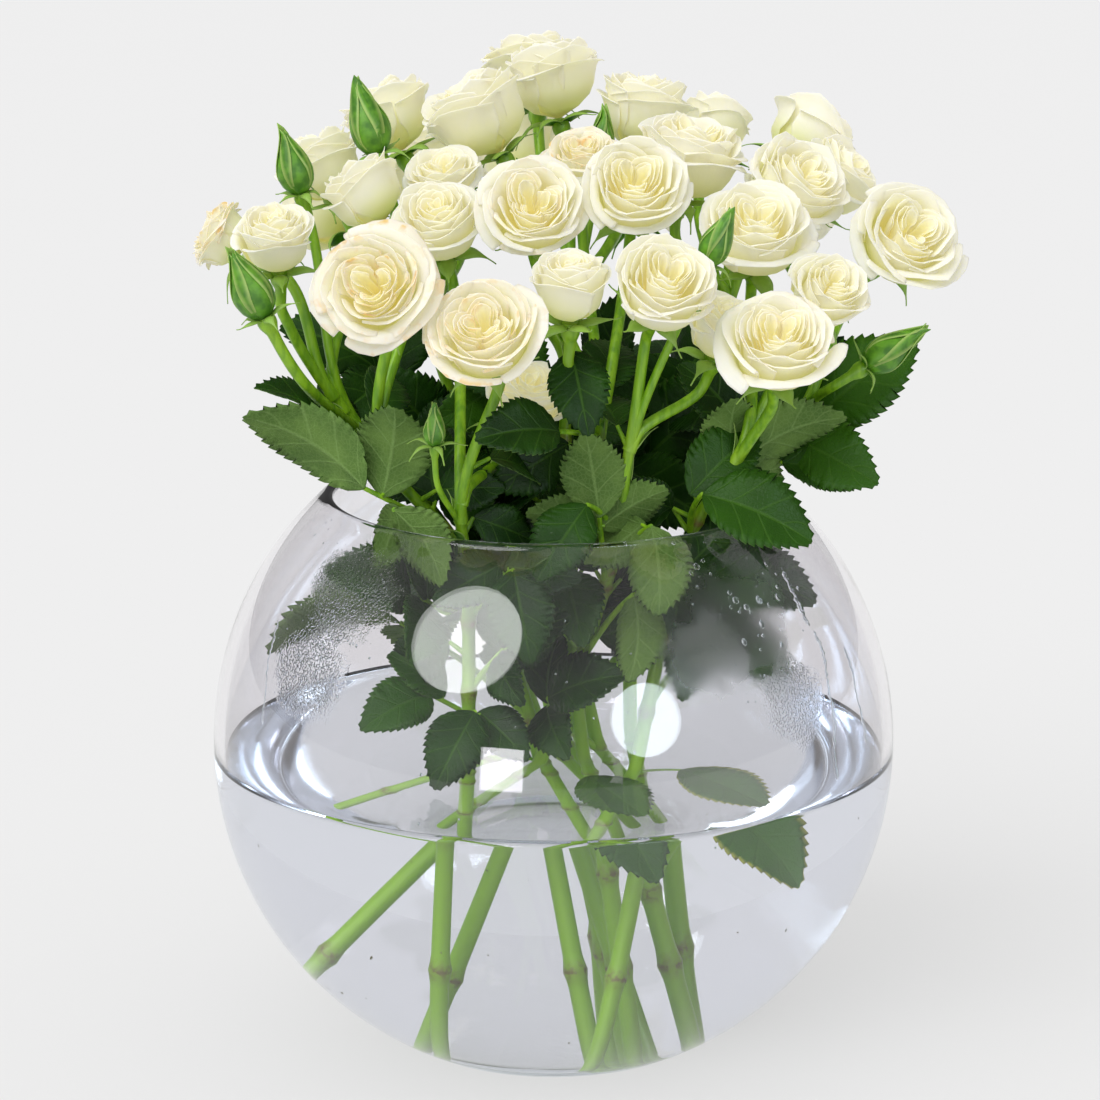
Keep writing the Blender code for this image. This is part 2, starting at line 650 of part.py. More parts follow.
def blade(root, tip, up, teeth, grow=0.0, stalk=()):
    """A serrated leaflet, thick along its rib and thin at its edge, arched along its length and folded a little.

    It starts at a point, or carries on from a stalk, given as (point, half thickness) from the stem on.
    """
    length = np.linalg.norm(tip - root)
    tangent = (tip - root) / length
    side = unit(np.cross(tangent, up))
    up = np.cross(side, tangent)
    width, thickness = length * LEAFLET_WIDTH_SHARE / 2 + grow, RIB_THICKNESS / 2 + grow

    def spot(u, v, lift=0.0):
        """u runs along the rib from 0 to 1, v across it from -1 to 1."""
        half = width * math.sin(math.pi * u**0.82) ** 0.75 if 0 < u < 1 else 0.0
        at = u + 3 * grow / length * (2 * u - 1)
        arch = 4 * at * (1 - at) if 0 < u < 1 else 1.25 - 2.5 * abs(at - 0.5)
        rise = BLADE_ARCH * length * arch + BLADE_FOLD * abs(v) * half + lift
        return root + tangent * length * at + side * v * half + up * rise

    ribs, edge = [0.25, 0.62], []
    for k in range(1, teeth + 1):
        u = k / (teeth + 0.6)
        edge += [(u - 0.02, 1.06), (u + 0.05, 0.84)]
    points, rows = [], {}

    def row(name, new):
        rows[name] = list(range(len(points), len(points) + len(new)))
        points.extend(new)

    frames = stalk_frames(stalk, side)
    for name, sign, which in (("over", 1, 1), ("under", -1, 1), ("left", 1, 0), ("right", -1, 0)):
        row(name, [p + sign * ways[which] * (half + grow) for (p, half), ways in zip(stalk, frames, strict=True)])
    row("start", [] if stalk else [spot(0.0, 0.0)])
    row("over_rib", [spot(u, 0.0, thickness) for u in ribs])
    row("under_rib", [spot(u, 0.0, -thickness) for u in ribs])
    for name, sign in (("left", 1), ("right", -1)):
        row(name + "_rim_over", [spot(u, sign * v, grow) for u, v in edge])
        row(name + "_rim_under", [spot(u, sign * v, -grow) for u, v in edge] if grow else [])
        rows[name + "_rim_under"] = rows[name + "_rim_under"] or rows[name + "_rim_over"]
    row("end", [spot(1.0, 0.0)])
    before = [i - len(stalk) + 0.0 for i in range(len(stalk))] or [0.0]
    at_rib, at_rim = [*before, *ribs, 1.0], [*before, *[u for u, _ in edge], 1.0]
    faces = [[rows["over"][0], rows["left"][0], rows["under"][0], rows["right"][0]]] if stalk else []
    for rib in ("over", "under"):
        for rim in ("left", "right"):
            a = rows[rib] + rows["start"] + rows[rib + "_rib"] + rows["end"]
            b = rows[rim] + rows["start"] + rows[rim + "_rim_" + rib] + rows["end"]
            faces += strip(a, b, at_rib, at_rim)
            if grow and rib == "under":
                c = rows[rim][-1:] + rows["start"] + rows[rim + "_rim_over"] + rows["end"]
                faces += strip(c, b[-len(c) :], range(len(c)), range(len(c)))
    return points, faces


def stalk_frames(stalk, side):
    """Sideways and upwards at each point of a stalk, carried back from its end."""
    if not stalk:
        return []
    path = np.array([p for p, _ in stalk])
    frames = []
    for tangent in np.gradient(path, axis=0)[::-1]:
        tangent = unit(tangent)
        side = unit(side - tangent * np.dot(side, tangent))
        frames.insert(0, (side, np.cross(side, tangent)))
    return frames


def strip(a, b, at_a, at_b):
    """Triangles between two rows of points that share their first and last point."""
    faces, i, j = [], 0, 0
    while i < len(a) - 1 or j < len(b) - 1:
        step_a = j == len(b) - 1 or (i < len(a) - 1 and at_a[i + 1] < at_b[j + 1])
        corners = [a[i], b[j], a[i + 1] if step_a else b[j + 1]]
        i, j = (i + 1, j) if step_a else (i, j + 1)
        if len(set(corners)) == 3:
            faces.append(corners)
    return faces


def leaf(start, base, tip, count, facing, size, grow=0.0):
    """The stalk that ends in a leaflet, and the side leaflets."""
    tangent = unit(tip - base)
    level = unit(np.cross(tangent, facing))
    up = np.cross(level, tangent)
    span = np.linalg.norm(base - start)
    leaving = unit(base - start + np.array([0, 0, 0.3]) * span)
    length = np.linalg.norm(tip - base) * size
    path = [*bend(start, leaving, base - tangent * length * 0.24, tangent, 2)[:2], base]
    stalk = list(zip(path, (1.2, 1.0, 0.9), strict=True))
    whole = blade(base, base + tangent * length, up, 3, grow, stalk)
    pairs = []
    for sign in (1, -1)[: count - 1]:
        way = unit(tangent * 0.36 + sign * level * 0.92 + up * 0.12)
        root = path[-1] + unit(path[-2] - path[-1]) * (0.17 * length + sign)
        pairs.append(blade(root, root + way * length * 0.82, up, 3, grow))
    return whole, pairs


# ---------------------------------------------------------------- finding room for what grows on the lines
class Room:
    """The shapes that are placed already, which the next ones keep clear of."""

    def __init__(self):
        self.taken = []

    def add(self, spray, shape):
        points = np.array(shape[0])
        tree = BVHTree.FromPolygons([Vector(p) for p in points], shape[1])
        self.taken.append((spray, points.min(axis=0), points.max(axis=0), tree))

    def free(self, spray, shape):
        """Whether a shape of one spray touches nothing but shapes of that spray."""
        points = np.array(shape[0])
        low, high = points.min(axis=0), points.max(axis=0)
        near = [t for o, a, b, t in self.taken if o != spray and (a < high).all() and (b > low).all()]
        if not near:
            return True
        tree = BVHTree.FromPolygons([Vector(p) for p in points], shape[1])
        return not any(tree.overlap(other) for other in near)


def turned_about(point, centre, swing, lift):
    """A point turned about a vertical axis through the centre, and raised, by angles in degrees."""
    off = np.array(point, float) - centre
    out = np.hypot(off[0], off[1])
    compass = math.atan2(off[1], off[0]) + math.radians(swing)
    slope = math.atan2(off[2], out) + math.radians(lift)
    reach = np.linalg.norm(off)
    flat = reach * math.cos(slope)
    return centre + np.array([flat * math.cos(compass), flat * math.sin(compass), reach * math.sin(slope)])


SWINGS = sorted(
    [(a, b) for a in range(-28, 29, 7) for b in range(-21, 22, 7)], key=lambda ab: (abs(ab[0]) + abs(ab[1]), ab)
)


def place_leaf(room, spray, stem, spec):
    """The leaf as listed, or swung a little or made smaller where something is in its way."""
    height, base, tip, count, *facing = spec
    facing = direction(*facing)
    start = stem.points[int(np.argmin(np.abs(stem.points[:, 2] - height)))]
    for size in (1.0, 0.85, 0.7):
        for swing, lift in SWINGS:
            at = [turned_about(p, start, swing, lift) for p in (base, tip)]
            whole, pairs = leaf(start, *at, count, facing, size, CLEARANCE)
            fits = [room.free(spray, piece) for piece in pairs]
            if room.free(spray, whole) and (count == 1 or any(fits)):
                chosen = [True, *fits]
                made = [leaf(start, *at, count, facing, size, grow) for grow in (0.0, STEM_CLEARANCE)]
                return [[p for p, fit in zip([m[0], *m[1]], chosen, strict=True) if fit] for m in made]
    return [], []


def place_sepals(room, line, draw):
    """Five sepals round a hip, each one curled as far up or down as there is room, or left out."""
    curls = []
    for k in range(SIDES):
        wanted, size = draw.uniform(-0.8, 0.7), draw.uniform(0.85, 1.05) * (0.65 if line.head is None else 1.0)
        tries = [(curl, size * shrink) for shrink in (1.0, 0.7) for curl in (wanted, -0.2, -0.7, -1.1, 0.5)]
        fits = [t for t in tries if room.free(line.spray, sepal_alone(line, k, *t, CLEARANCE))]
        curls.append(fits[0] if fits else None)
    return curls


def grow_sprays(bowl_shape):
    """For every spray: the pieces of its green solid, and the holes that it needs in the water."""
    lines = draw_lines()
    room = Room()
    room.add(None, bowl_shape)
    for name in ROSES:
        room.add(name, rose_shape(name))
    for line in lines:
        room.add(line.spray, line_solid(line))
    pieces = {spray: [] for spray in SPRAYS}
    holes = {spray: [] for spray in SPRAYS}
    for line in lines:
        if line.head is None:
            pieces[line.spray].append(bud(line))
            room.add(line.spray, pieces[line.spray][-1])
    draw = random.Random(7)
    for line in lines:
        pieces[line.spray].insert(0, line_solid(line, place_sepals(room, line, draw)))
        room.add(line.spray, pieces[line.spray][0])
    for stem in [line for line in lines if line.parent is None]:
        holes[stem.spray].append(stem_hole(stem))
        for spec in LEAVES[stem.spray]:
            kept, wet = place_leaf(room, stem.spray, stem, spec)
            pieces[stem.spray] += kept
            for piece in kept:
                room.add(stem.spray, piece)
            holes[stem.spray] += [w for w in wet if min(p[2] for p in w[0]) < WATER_LEVEL + 1]
    return pieces, holes


def main():
    clear_scene()
    glass = material("clear_glass", CLEAR, 0.02, 0.3)
    water = material("water", CLEAR, 0.02, 0.4)
    green = material("rose_green", GREEN, 0.45)
    cream = material("cream_petal", CREAM, 0.6)
    bowl_shape = bowl()
    as_object("glass_bowl", *bowl_shape, glass)
    for name in ROSES:
        as_object(name, *rose_shape(name), cream)
    pieces, holes = grow_sprays(bowl_shape)
    cutters = []
    for spray in SPRAYS:
        solids = [as_object(f"{spray}_{i}", *shape, green) for i, shape in enumerate(pieces[spray])]
        body = combined(solids[0], solids[1:], "UNION", "MANIFOLD")
        body.name = spray
        cutters += [as_object(f"{spray}_hole_{i}", *shape, water) for i, shape in enumerate(holes[spray])]
    combined(as_object("water", *water_body(), water), cutters, "DIFFERENCE", "MANIFOLD")
    for made in bpy.data.objects:
        made.data.shade_smooth()
        made.data.set_sharp_from_angle(angle=math.radians(SMOOTH_ANGLE))


main()
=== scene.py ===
# %% [markdown]
# # White spray roses in a round glass bowl
#
# The solids of the bowl, the water, eleven leafy sprays and thirty-four open roses come from the packed
# model. This lesson dresses them: smooth glass, clear water, layered petals, veined leaves and soft light.
# Every piece is made in millimetres in the model's own frame and scaled to metres when its mesh is written.

import json
import math
import random

import bmesh
import bpy
import numpy as np
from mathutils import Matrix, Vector

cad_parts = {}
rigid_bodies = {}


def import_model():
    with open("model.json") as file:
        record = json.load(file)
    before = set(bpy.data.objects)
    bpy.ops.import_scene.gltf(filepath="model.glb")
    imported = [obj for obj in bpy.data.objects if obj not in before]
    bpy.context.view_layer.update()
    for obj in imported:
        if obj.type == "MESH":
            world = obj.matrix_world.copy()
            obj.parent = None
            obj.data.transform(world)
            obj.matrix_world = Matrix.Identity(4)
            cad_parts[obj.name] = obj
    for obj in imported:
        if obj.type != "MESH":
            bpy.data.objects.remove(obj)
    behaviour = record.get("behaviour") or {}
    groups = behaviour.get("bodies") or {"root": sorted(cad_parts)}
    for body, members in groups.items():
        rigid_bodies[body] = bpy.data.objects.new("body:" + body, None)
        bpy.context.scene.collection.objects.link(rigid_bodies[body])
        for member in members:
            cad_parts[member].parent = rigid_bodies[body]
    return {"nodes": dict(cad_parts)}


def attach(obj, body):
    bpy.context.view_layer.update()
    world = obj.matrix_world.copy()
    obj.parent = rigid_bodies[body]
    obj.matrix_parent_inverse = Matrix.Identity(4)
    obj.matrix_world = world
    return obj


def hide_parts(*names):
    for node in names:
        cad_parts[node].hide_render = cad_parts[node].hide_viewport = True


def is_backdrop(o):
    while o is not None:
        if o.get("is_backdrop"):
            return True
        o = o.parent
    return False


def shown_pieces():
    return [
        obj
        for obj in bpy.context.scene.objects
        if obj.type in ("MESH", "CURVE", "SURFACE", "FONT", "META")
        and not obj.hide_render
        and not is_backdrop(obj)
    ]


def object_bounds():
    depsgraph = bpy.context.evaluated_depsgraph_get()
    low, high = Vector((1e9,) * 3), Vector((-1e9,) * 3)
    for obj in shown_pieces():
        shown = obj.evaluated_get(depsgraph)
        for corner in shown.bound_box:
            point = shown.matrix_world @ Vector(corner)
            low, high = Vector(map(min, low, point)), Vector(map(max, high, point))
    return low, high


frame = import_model()
cad_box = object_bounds()
MM = 0.001
print("solids:", len(frame["nodes"]), "box:", [round(1000 * c) for corner in cad_box for c in corner])

# %% [markdown]
# ## The camera
#
# The bowl is looked at from a little above, with a long lens from a step and a half away, so that the rim
# shows as a slim ellipse. The camera is placed by its distance and elevation from the point it aims at.

# %% The camera
AIM = Vector((-1.3, 0.0, 183.4)) * MM
DISTANCE = 1.5
ELEVATION = math.radians(14.0)

lens = bpy.data.cameras.new("camera")
lens.lens = 134.56
lens.sensor_width = 36.0
lens.clip_start = 0.05
camera = bpy.data.objects.new("camera", lens)
camera.location = AIM + DISTANCE * Vector((0.0, -math.cos(ELEVATION), math.sin(ELEVATION)))
camera.rotation_euler = (math.pi / 2 - ELEVATION, 0.0, 0.0)
bpy.context.scene.collection.objects.link(camera)
bpy.context.scene.camera = camera
bpy.context.scene.view_settings.view_transform = "Standard"
print("camera at", [round(c, 3) for c in camera.location])

# %% [markdown]
# ## Writing shader maths as Python
#
# A shader is easier to read as an expression than as a row of nodes. `Wire` wraps one socket, and its
# operators add Math nodes; `Finish` holds one material and adds any other node through one method.


# %% Shader maths
class Wire:
    """One socket of a material, which takes part in arithmetic."""

    def __init__(self, finish, socket):
        self.finish = finish
        self.socket = socket

    def maths(self, operation, first, second=0.0):
        return self.finish.node("ShaderNodeMath", {0: first, 1: second}, {"operation": operation})

    def __add__(self, other):
        return self.maths("ADD", self, other)

    def __sub__(self, other):
        return self.maths("SUBTRACT", self, other)

    def __rsub__(self, other):
        return self.maths("SUBTRACT", other, self)

    def __mul__(self, other):
        return self.maths("MULTIPLY", self, other)

    __radd__ = __add__
    __rmul__ = __mul__


class Finish:
    """A material with one Principled shader, whose sockets are set by name."""

    def __init__(self, name, **sockets):
        self.material = bpy.data.materials.new(name)
        self.material.use_nodes = True
        self.tree = self.material.node_tree
        self.shader = self.tree.nodes["Principled BSDF"]
        for socket, value in sockets.items():
            self.set(socket.replace("_", " "), value)

    def set(self, socket, value):
        if isinstance(value, Wire):
            self.tree.links.new(value.socket, self.shader.inputs[socket])
        elif isinstance(value, tuple) and self.shader.inputs[socket].type == "RGBA":
            self.shader.inputs[socket].default_value = (*value, 1.0)
        else:
            self.shader.inputs[socket].default_value = value

    def node(self, kind, values=None, settings=None, out=0):
        made = self.tree.nodes.new(kind)
        for name, value in (settings or {}).items():
            setattr(made, name, value)
        for name, value in (values or {}).items():
            if isinstance(value, Wire):
                self.tree.links.new(value.socket, made.inputs[name])
            else:
                made.inputs[name].default_value = value
        return Wire(self, made.outputs[out])

    def place(self):
        return self.node("ShaderNodeTexCoord", out="Object")

    def attribute(self, name):
        """The red, green, blue and alpha of a colour attribute."""
        settings = {"attribute_name": name}
        colour = self.node("ShaderNodeAttribute", {}, settings, "Color")
        alpha = self.node("ShaderNodeAttribute", {}, settings, "Alpha")
        parts = [self.node("ShaderNodeSeparateColor", {0: colour}, {}, k) for k in range(3)]
        return [*parts, alpha]

    def noise(self, scale, detail=2.0, vector=None):
        vector = self.place() if vector is None else vector
        return self.node("ShaderNodeTexNoise", {"Vector": vector, "Scale": scale, "Detail": detail})

    def stretched(self, x, y, z):
        return self.node("ShaderNodeMapping", {"Vector": self.place(), "Scale": (x, y, z)})

    def distance(self, point):
        """How far a place on the surface is from a point, in metres."""
        settings = {"operation": "DISTANCE"}
        return self.node("ShaderNodeVectorMath", {0: self.place(), 1: point}, settings, "Value")

    def step(self, value, low, high):
        """0 below low, 1 above high, and smooth between them."""
        settings = {"interpolation_type": "SMOOTHSTEP"}
        return self.node("ShaderNodeMapRange", {0: value, 1: low, 2: high}, settings)

    def mix(self, share, first, second):
        first, second = [(*c, 1.0) if isinstance(c, tuple) else c for c in (first, second)]
        return self.node("ShaderNodeMix", {0: share, 6: first, 7: second}, {"data_type": "RGBA"}, 2)

    def bump(self, height, distance, strength=1.0):
        values = {"Height": height, "Distance": distance, "Strength": strength}
        self.set("Normal", self.node("ShaderNodeBump", values, {}, "Normal"))


print("helpers ready")

# %% [markdown]
# ## The studio
#
# A clear bowl shows its room twice: bent through the water and mirrored on the wall. So the room is plain,
# a pale table and an even pale sky, and three shaped lamps stand where their mirror images belong: a big
# disc, a smaller disc and a small square. They are seen only in gloss and in the glass, and a broad soft sun
# does the lighting. Light that is caught in the wall turns round it many times, so many bounces are allowed.

# %% The studio
TABLE_TONE = (0.30, 0.30, 0.30)
TABLE_GLOW = 0.495
SKY_TONE = (1.0, 0.995, 1.0)
SKY_STRENGTH = 0.70
SKY_SEEN = 0.85
SKY_MIRRORED = 0.14
SUN_STRENGTH = 2.15
SUN_TOWARDS = (-0.42, -0.62, 1.0)
SUN_SPREAD = 50.0
BOWL_MIDDLE = Vector((0.0, 0.0, 0.112))

# Each lamp: its name, where its mirror image shows as shares of the bowl's radius right of and above the
# middle, its shape, distance, size, strength and tint.
LAMPS = (
    ("large_disc", (-0.246, 0.292), "DISK", 2.0, 1.25, 5.4, (0.96, 1.0, 0.96)),
    ("small_disc", (0.258, 0.068), "DISK", 2.0, 0.80, 7.0, (0.82, 0.93, 1.0)),
    ("small_square", (-0.143, -0.068), "SQUARE", 1.3, 0.30, 8.5, (0.97, 0.94, 1.0)),
)
BOUNCES = {"max": 32, "transmission": 32, "glossy": 12, "diffuse": 8}


def table():
    """A very wide pale disc that the bowl stands on."""
    mesh = bpy.data.meshes.new("table")
    shell = bmesh.new()
    bmesh.ops.create_circle(shell, cap_ends=True, radius=30.0, segments=96)
    shell.to_mesh(mesh)
    shell.free()
    made = bpy.data.objects.new("table", mesh)
    finish = Finish("table_top", Roughness=0.9)
    finish.set("Specular IOR Level", 0.1)
    grain = finish.noise(6.0, 1.0)
    finish.set("Base Color", finish.mix(grain, TABLE_TONE, tuple(0.99 * c for c in TABLE_TONE)))
    finish.set("Emission Color", (1.0, 1.0, 1.0))
    finish.set("Emission Strength", TABLE_GLOW)
    mesh.materials.append(finish.material)
    bpy.context.scene.collection.objects.link(made)
    made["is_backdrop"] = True


def lamp(name, towards, shape, distance, size, strength, tint):
    """An area lamp that is seen only in glass and gloss, in a direction from the bowl's middle."""
    light = bpy.data.lights.new(name, "AREA")
    light.shape = shape
    light.color = tint
    light.size = size
    area = size * size * (math.pi / 4 if shape == "DISK" else 1.0)
    light.energy = strength * math.pi * area
    made = bpy.data.objects.new(name, light)
    away = Vector(towards).normalized()
    made.location = BOWL_MIDDLE + away * distance
    made.rotation_euler = away.to_track_quat("Z", "Y").to_euler()
    made.visible_diffuse = False
    only_where(light, "Diffuse Depth")
    bpy.context.scene.collection.objects.link(made)


def only_where(light, count):
    """The light counts only on paths where this count of the light path is still zero."""
    light.use_nodes = True
    nodes, links = light.node_tree.nodes, light.node_tree.links
    path = nodes.new("ShaderNodeLightPath")
    none_yet = nodes.new("ShaderNodeMath")
    none_yet.operation = "LESS_THAN"
    none_yet.inputs[1].default_value = 0.5
    links.new(path.outputs[count], none_yet.inputs[0])
    links.new(none_yet.outputs[0], nodes["Emission"].inputs["Strength"])


def seen_at(right, up):
    """Where a lamp stands to be mirrored at these shares of the radius right of and above the middle."""
    out = math.sqrt(1.0 - right * right - up * up)
    mirrored = Vector((2 * out * right, 2 * out * up, 2 * out * out - 1.0))
    return camera.rotation_euler.to_matrix() @ mirrored


def sky():
    """Pale where it is seen, even where it lights, and dim where a surface mirrors it straight to the eye."""
    world = bpy.data.worlds.new("sky")
    world.use_nodes = True
    nodes, links = world.node_tree.nodes, world.node_tree.links

    def maths(operation, first, second):
        made = nodes.new("ShaderNodeMath")
        made.operation = operation
        for socket, value in zip(made.inputs, (first, second)):
            if isinstance(value, float):
                socket.default_value = value
            else:
                links.new(value, socket)
        return made.outputs[0]

    path = nodes.new("ShaderNodeLightPath").outputs
    through = maths("GREATER_THAN", path["Transmission Depth"], 0.5)
    diffuse = maths("GREATER_THAN", path["Diffuse Depth"], 0.5)
    seen = maths("MAXIMUM", path["Is Camera Ray"], maths("SUBTRACT", through, diffuse))
    mirrored = maths("SUBTRACT", path["Is Glossy Ray"], maths("MAXIMUM", through, diffuse))
    more = maths("MULTIPLY", maths("MAXIMUM", seen, 0.0), SKY_SEEN - SKY_STRENGTH)
    strength = maths("ADD", SKY_STRENGTH, more)
    drop = maths("MULTIPLY", maths("MAXIMUM", mirrored, 0.0), SKY_STRENGTH - SKY_MIRRORED)
    background = nodes["Background"]
    background.inputs["Color"].default_value = (*SKY_TONE, 1.0)
    links.new(maths("SUBTRACT", strength, drop), background.inputs["Strength"])
    bpy.context.scene.world = world


def sun():
    """A very soft sun that lights everything, but isn't itself mirrored in the glass or seen through it."""
    light = bpy.data.lights.new("soft_sun", "SUN")
    light.energy = SUN_STRENGTH
    light.angle = math.radians(SUN_SPREAD)
    made = bpy.data.objects.new("soft_sun", light)
    made.rotation_euler = Vector(SUN_TOWARDS).to_track_quat("Z", "Y").to_euler()
    made.visible_glossy = False
    made.visible_transmission = False
    bpy.context.scene.collection.objects.link(made)


table()
sky()
for name, place, *rest in LAMPS:
    lamp(name, seen_at(*place), *rest)
sun()
for kind, count in BOUNCES.items():
    setattr(bpy.context.scene.cycles, kind + "_bounces", count)

# %% [markdown]
# ## Meshes from rows of points
#
# Petals, leaves and sepals are all thin sheets. A sheet is a grid of points; its closed shell is that grid,
# a copy a hair's breadth behind it, and a rim between the two. NumPy works out all points of a sheet at once.


# %% Sheets and shells
def unit(v):
    return v / np.linalg.norm(v, axis=-1, keepdims=True)


def smooth(x, low=0.0, high=1.0):
    x = np.clip((np.asarray(x, float) - low) / (high - low), 0.0, 1.0)
    return x * x * (3 - 2 * x)


def shell_faces(rows, columns):
    """Quads of a closed shell over a grid: the outer side, the inner side and the rim."""
    index = np.arange(rows * columns).reshape(rows, columns)
    corners = (index[:-1, :-1], index[:-1, 1:], index[1:, 1:], index[1:, :-1])
    outer = np.stack(corners, -1).reshape(-1, 4)
    border = np.concatenate([index[0, :-1], index[:-1, -1], index[-1, :0:-1], index[:0:-1, 0]])
    ahead = np.roll(border, -1)
    count = rows * columns
    rim = np.stack([ahead, border, border + count, ahead + count], -1)
    return np.concatenate([outer, outer[:, ::-1] + count, rim])


def shell_of(grid, thickness):
    """Points of the shell over a grid of shape (rows, columns, 3); the grid is its outer side."""
    normal = unit(np.cross(np.gradient(grid, axis=1), np.gradient(grid, axis=0)) + 1e-12)
    return np.concatenate([grid.reshape(-1, 3), (grid - normal * thickness).reshape(-1, 3)])


class Gathered:
    """Points, faces and colour values of many small shapes that become one mesh."""

    def __init__(self):
        self.points = []
        self.faces = []
        self.values = []
        self.count = 0

    def add(self, points, faces, values):
        self.faces += (np.asarray(faces) + self.count).tolist()
        self.points.append(np.asarray(points, float))
        self.values.append(np.broadcast_to(np.asarray(values, float), (len(points), 4)))
        self.count += len(points)

    def as_object(self, name, finish):
        mesh = bpy.data.meshes.new(name)
        mesh.from_pydata((np.concatenate(self.points) * MM).tolist(), [], self.faces)
        colour = mesh.attributes.new("grown", "FLOAT_COLOR", "POINT")
        colour.data.foreach_set("color", np.concatenate(self.values).astype(np.float32).ravel())
        mesh.shade_smooth()
        mesh.materials.append(finish)
        made = bpy.data.objects.new(name, mesh)
        bpy.context.scene.collection.objects.link(made)
        return made


def settled(piece, slot, *nodes):
    """The piece rides on the one body and stands for its solids, which are hidden; the slot is not used."""
    if nodes:
        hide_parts(*nodes)
    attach(piece, "root")
    return piece


print("a petal's shell has", len(shell_faces(10, 11)), "faces")

# %% [markdown]
# ## Geometry Nodes from a script
#
# What repeats or follows a path is grown by Geometry Nodes. `Tree` writes one node group: it has named
# inputs, one method that adds any node, and an end that realises the copies and sets the material.


# %% A small builder for Geometry Nodes
class Tree:
    def __init__(self, name, inputs):
        self.group = bpy.data.node_groups.new(name, "GeometryNodeTree")
        self.group.interface.new_socket("Geometry", in_out="INPUT", socket_type="NodeSocketGeometry")
        self.group.interface.new_socket("Geometry", in_out="OUTPUT", socket_type="NodeSocketGeometry")
        self.identifiers = {}
        for label, kind in inputs.items():
            socket = self.group.interface.new_socket(label, in_out="INPUT", socket_type="NodeSocket" + kind)
            self.identifiers[label] = socket.identifier
        self.source = self.group.nodes.new("NodeGroupInput")

    def given(self, label="Geometry"):
        return self.source.outputs[label]

    def node(self, kind, values=None, settings=None, out=0):
        made = self.group.nodes.new(kind)
        for name, value in (settings or {}).items():
            setattr(made, name, value)
        for name, value in (values or {}).items():
            if isinstance(value, bpy.types.NodeSocket):
                self.group.links.new(value, made.inputs[name])
            else:
                made.inputs[name].default_value = value
        return made.outputs[out]

    def maths(self, operation, first, second=0.0):
        return self.node("ShaderNodeMath", {0: first, 1: second}, {"operation": operation})

    def named(self, attribute):
        """A number that the points of the source mesh carry."""
        return self.node("GeometryNodeInputNamedAttribute", {"Name": attribute}, {"data_type": "FLOAT"})

    def end(self, geometry):
        real = self.node("GeometryNodeRealizeInstances", {0: geometry})
        soft = self.node("GeometryNodeSetShadeSmooth", {"Geometry": real})
        dressed = self.node("GeometryNodeSetMaterial", {"Geometry": soft, "Material": self.given("Finish")})
        output = self.group.nodes.new("NodeGroupOutput")
        self.group.links.new(dressed, output.inputs[0])

    def grown(self, name, points, edges, faces, attributes, **values):
        """A plain mesh object: the tree run on a source mesh with point attributes."""
        source = bpy.data.meshes.new(name + "_source")
        source.from_pydata((np.asarray(points, float) * MM).tolist(), edges, faces)
        for label, numbers in attributes.items():
            layer = source.attributes.new(label, "FLOAT", "POINT")
            layer.data.foreach_set("value", np.asarray(numbers, np.float32))
        made = bpy.data.objects.new(name, source)
        bpy.context.scene.collection.objects.link(made)
        modifier = made.modifiers.new("grow", "NODES")
        modifier.node_group = self.group
        for label, value in values.items():
            modifier[self.identifiers[label.replace("_", " ")]] = value
        bpy.context.view_layer.update()
        graph = bpy.context.evaluated_depsgraph_get()
        result = bpy.data.meshes.new_from_object(made.evaluated_get(graph))
        made.modifiers.clear()
        made.data = result
        bpy.data.meshes.remove(source)
        return made


print("tree builder ready")

# %% [markdown]
# ## The bowl and the water
#
# The bowl is a blown sphere, cut open at the top and flattened where it stands. The water is turned to the
# same curve, climbs a little at the glass, and reaches a hair into the wall, so that light goes straight
# from water to glass without a film of air between them. Both are turned by one tree of nodes from a profile.

# %% Sizes of the bowl and the water
BOWL_RADIUS = 125.0
WALL = 4.0
FOOT_RADIUS = 55.0
MOUTH_ANGLE = 41.0
FLOOR_THICKNESS = 8.0
FLOOR_CURVE = 5.0
RIM_ROUNDING = 0.014
FOOT_ROUNDING = 0.012
CENTRE_HEIGHT = math.sqrt(BOWL_RADIUS**2 - FOOT_RADIUS**2)
INNER_RADIUS = BOWL_RADIUS - WALL
WATER_LEVEL = CENTRE_HEIGHT - 2.0
TURN_STEPS = 176


def on_sphere(radius, angle):
    return (radius * math.sin(angle), CENTRE_HEIGHT + radius * math.cos(angle))


def arc(centre, radius, first, last, steps):
    """Points on an arc in the plane of radius and height; angles in degrees from the radius axis."""
    turn = np.radians(np.linspace(first, last, steps + 1))
    return [(centre[0] + radius * math.cos(a), centre[1] + radius * math.sin(a)) for a in turn]


def bowl_profile():
    """From the middle of the foot, up the outside, over the rounded rim and down the inside to the floor."""
    foot_angle = math.pi - math.asin(FOOT_RADIUS / BOWL_RADIUS)
    mouth = math.radians(MOUTH_ANGLE) + RIM_ROUNDING
    profile = [(0.0, 0.9), (24.0, 0.9), (38.0, 0.6), (45.0, 0.05), (49.0, 0.0), (52.0, 0.25)]
    profile += [on_sphere(BOWL_RADIUS, a) for a in np.linspace(foot_angle - FOOT_ROUNDING, mouth, 64)]
    lip = on_sphere(BOWL_RADIUS - WALL / 2, mouth)
    start = 90.0 - MOUTH_ANGLE
    profile += arc(lip, WALL / 2, start + 15, start + 165, 8)
    low = math.acos((FLOOR_THICKNESS + FLOOR_CURVE - CENTRE_HEIGHT) / INNER_RADIUS)
    profile += [on_sphere(INNER_RADIUS, a) for a in np.linspace(mouth, low, 56)]
    edge = profile[-1][0]
    profile += [(edge - 3.2, 10.6), (edge - 7.5, 8.9), (edge - 13.0, 8.2), (edge - 20.0, 8.0)]
    profile += [(20.0, 8.0), (0.0, 8.0)]
    return profile


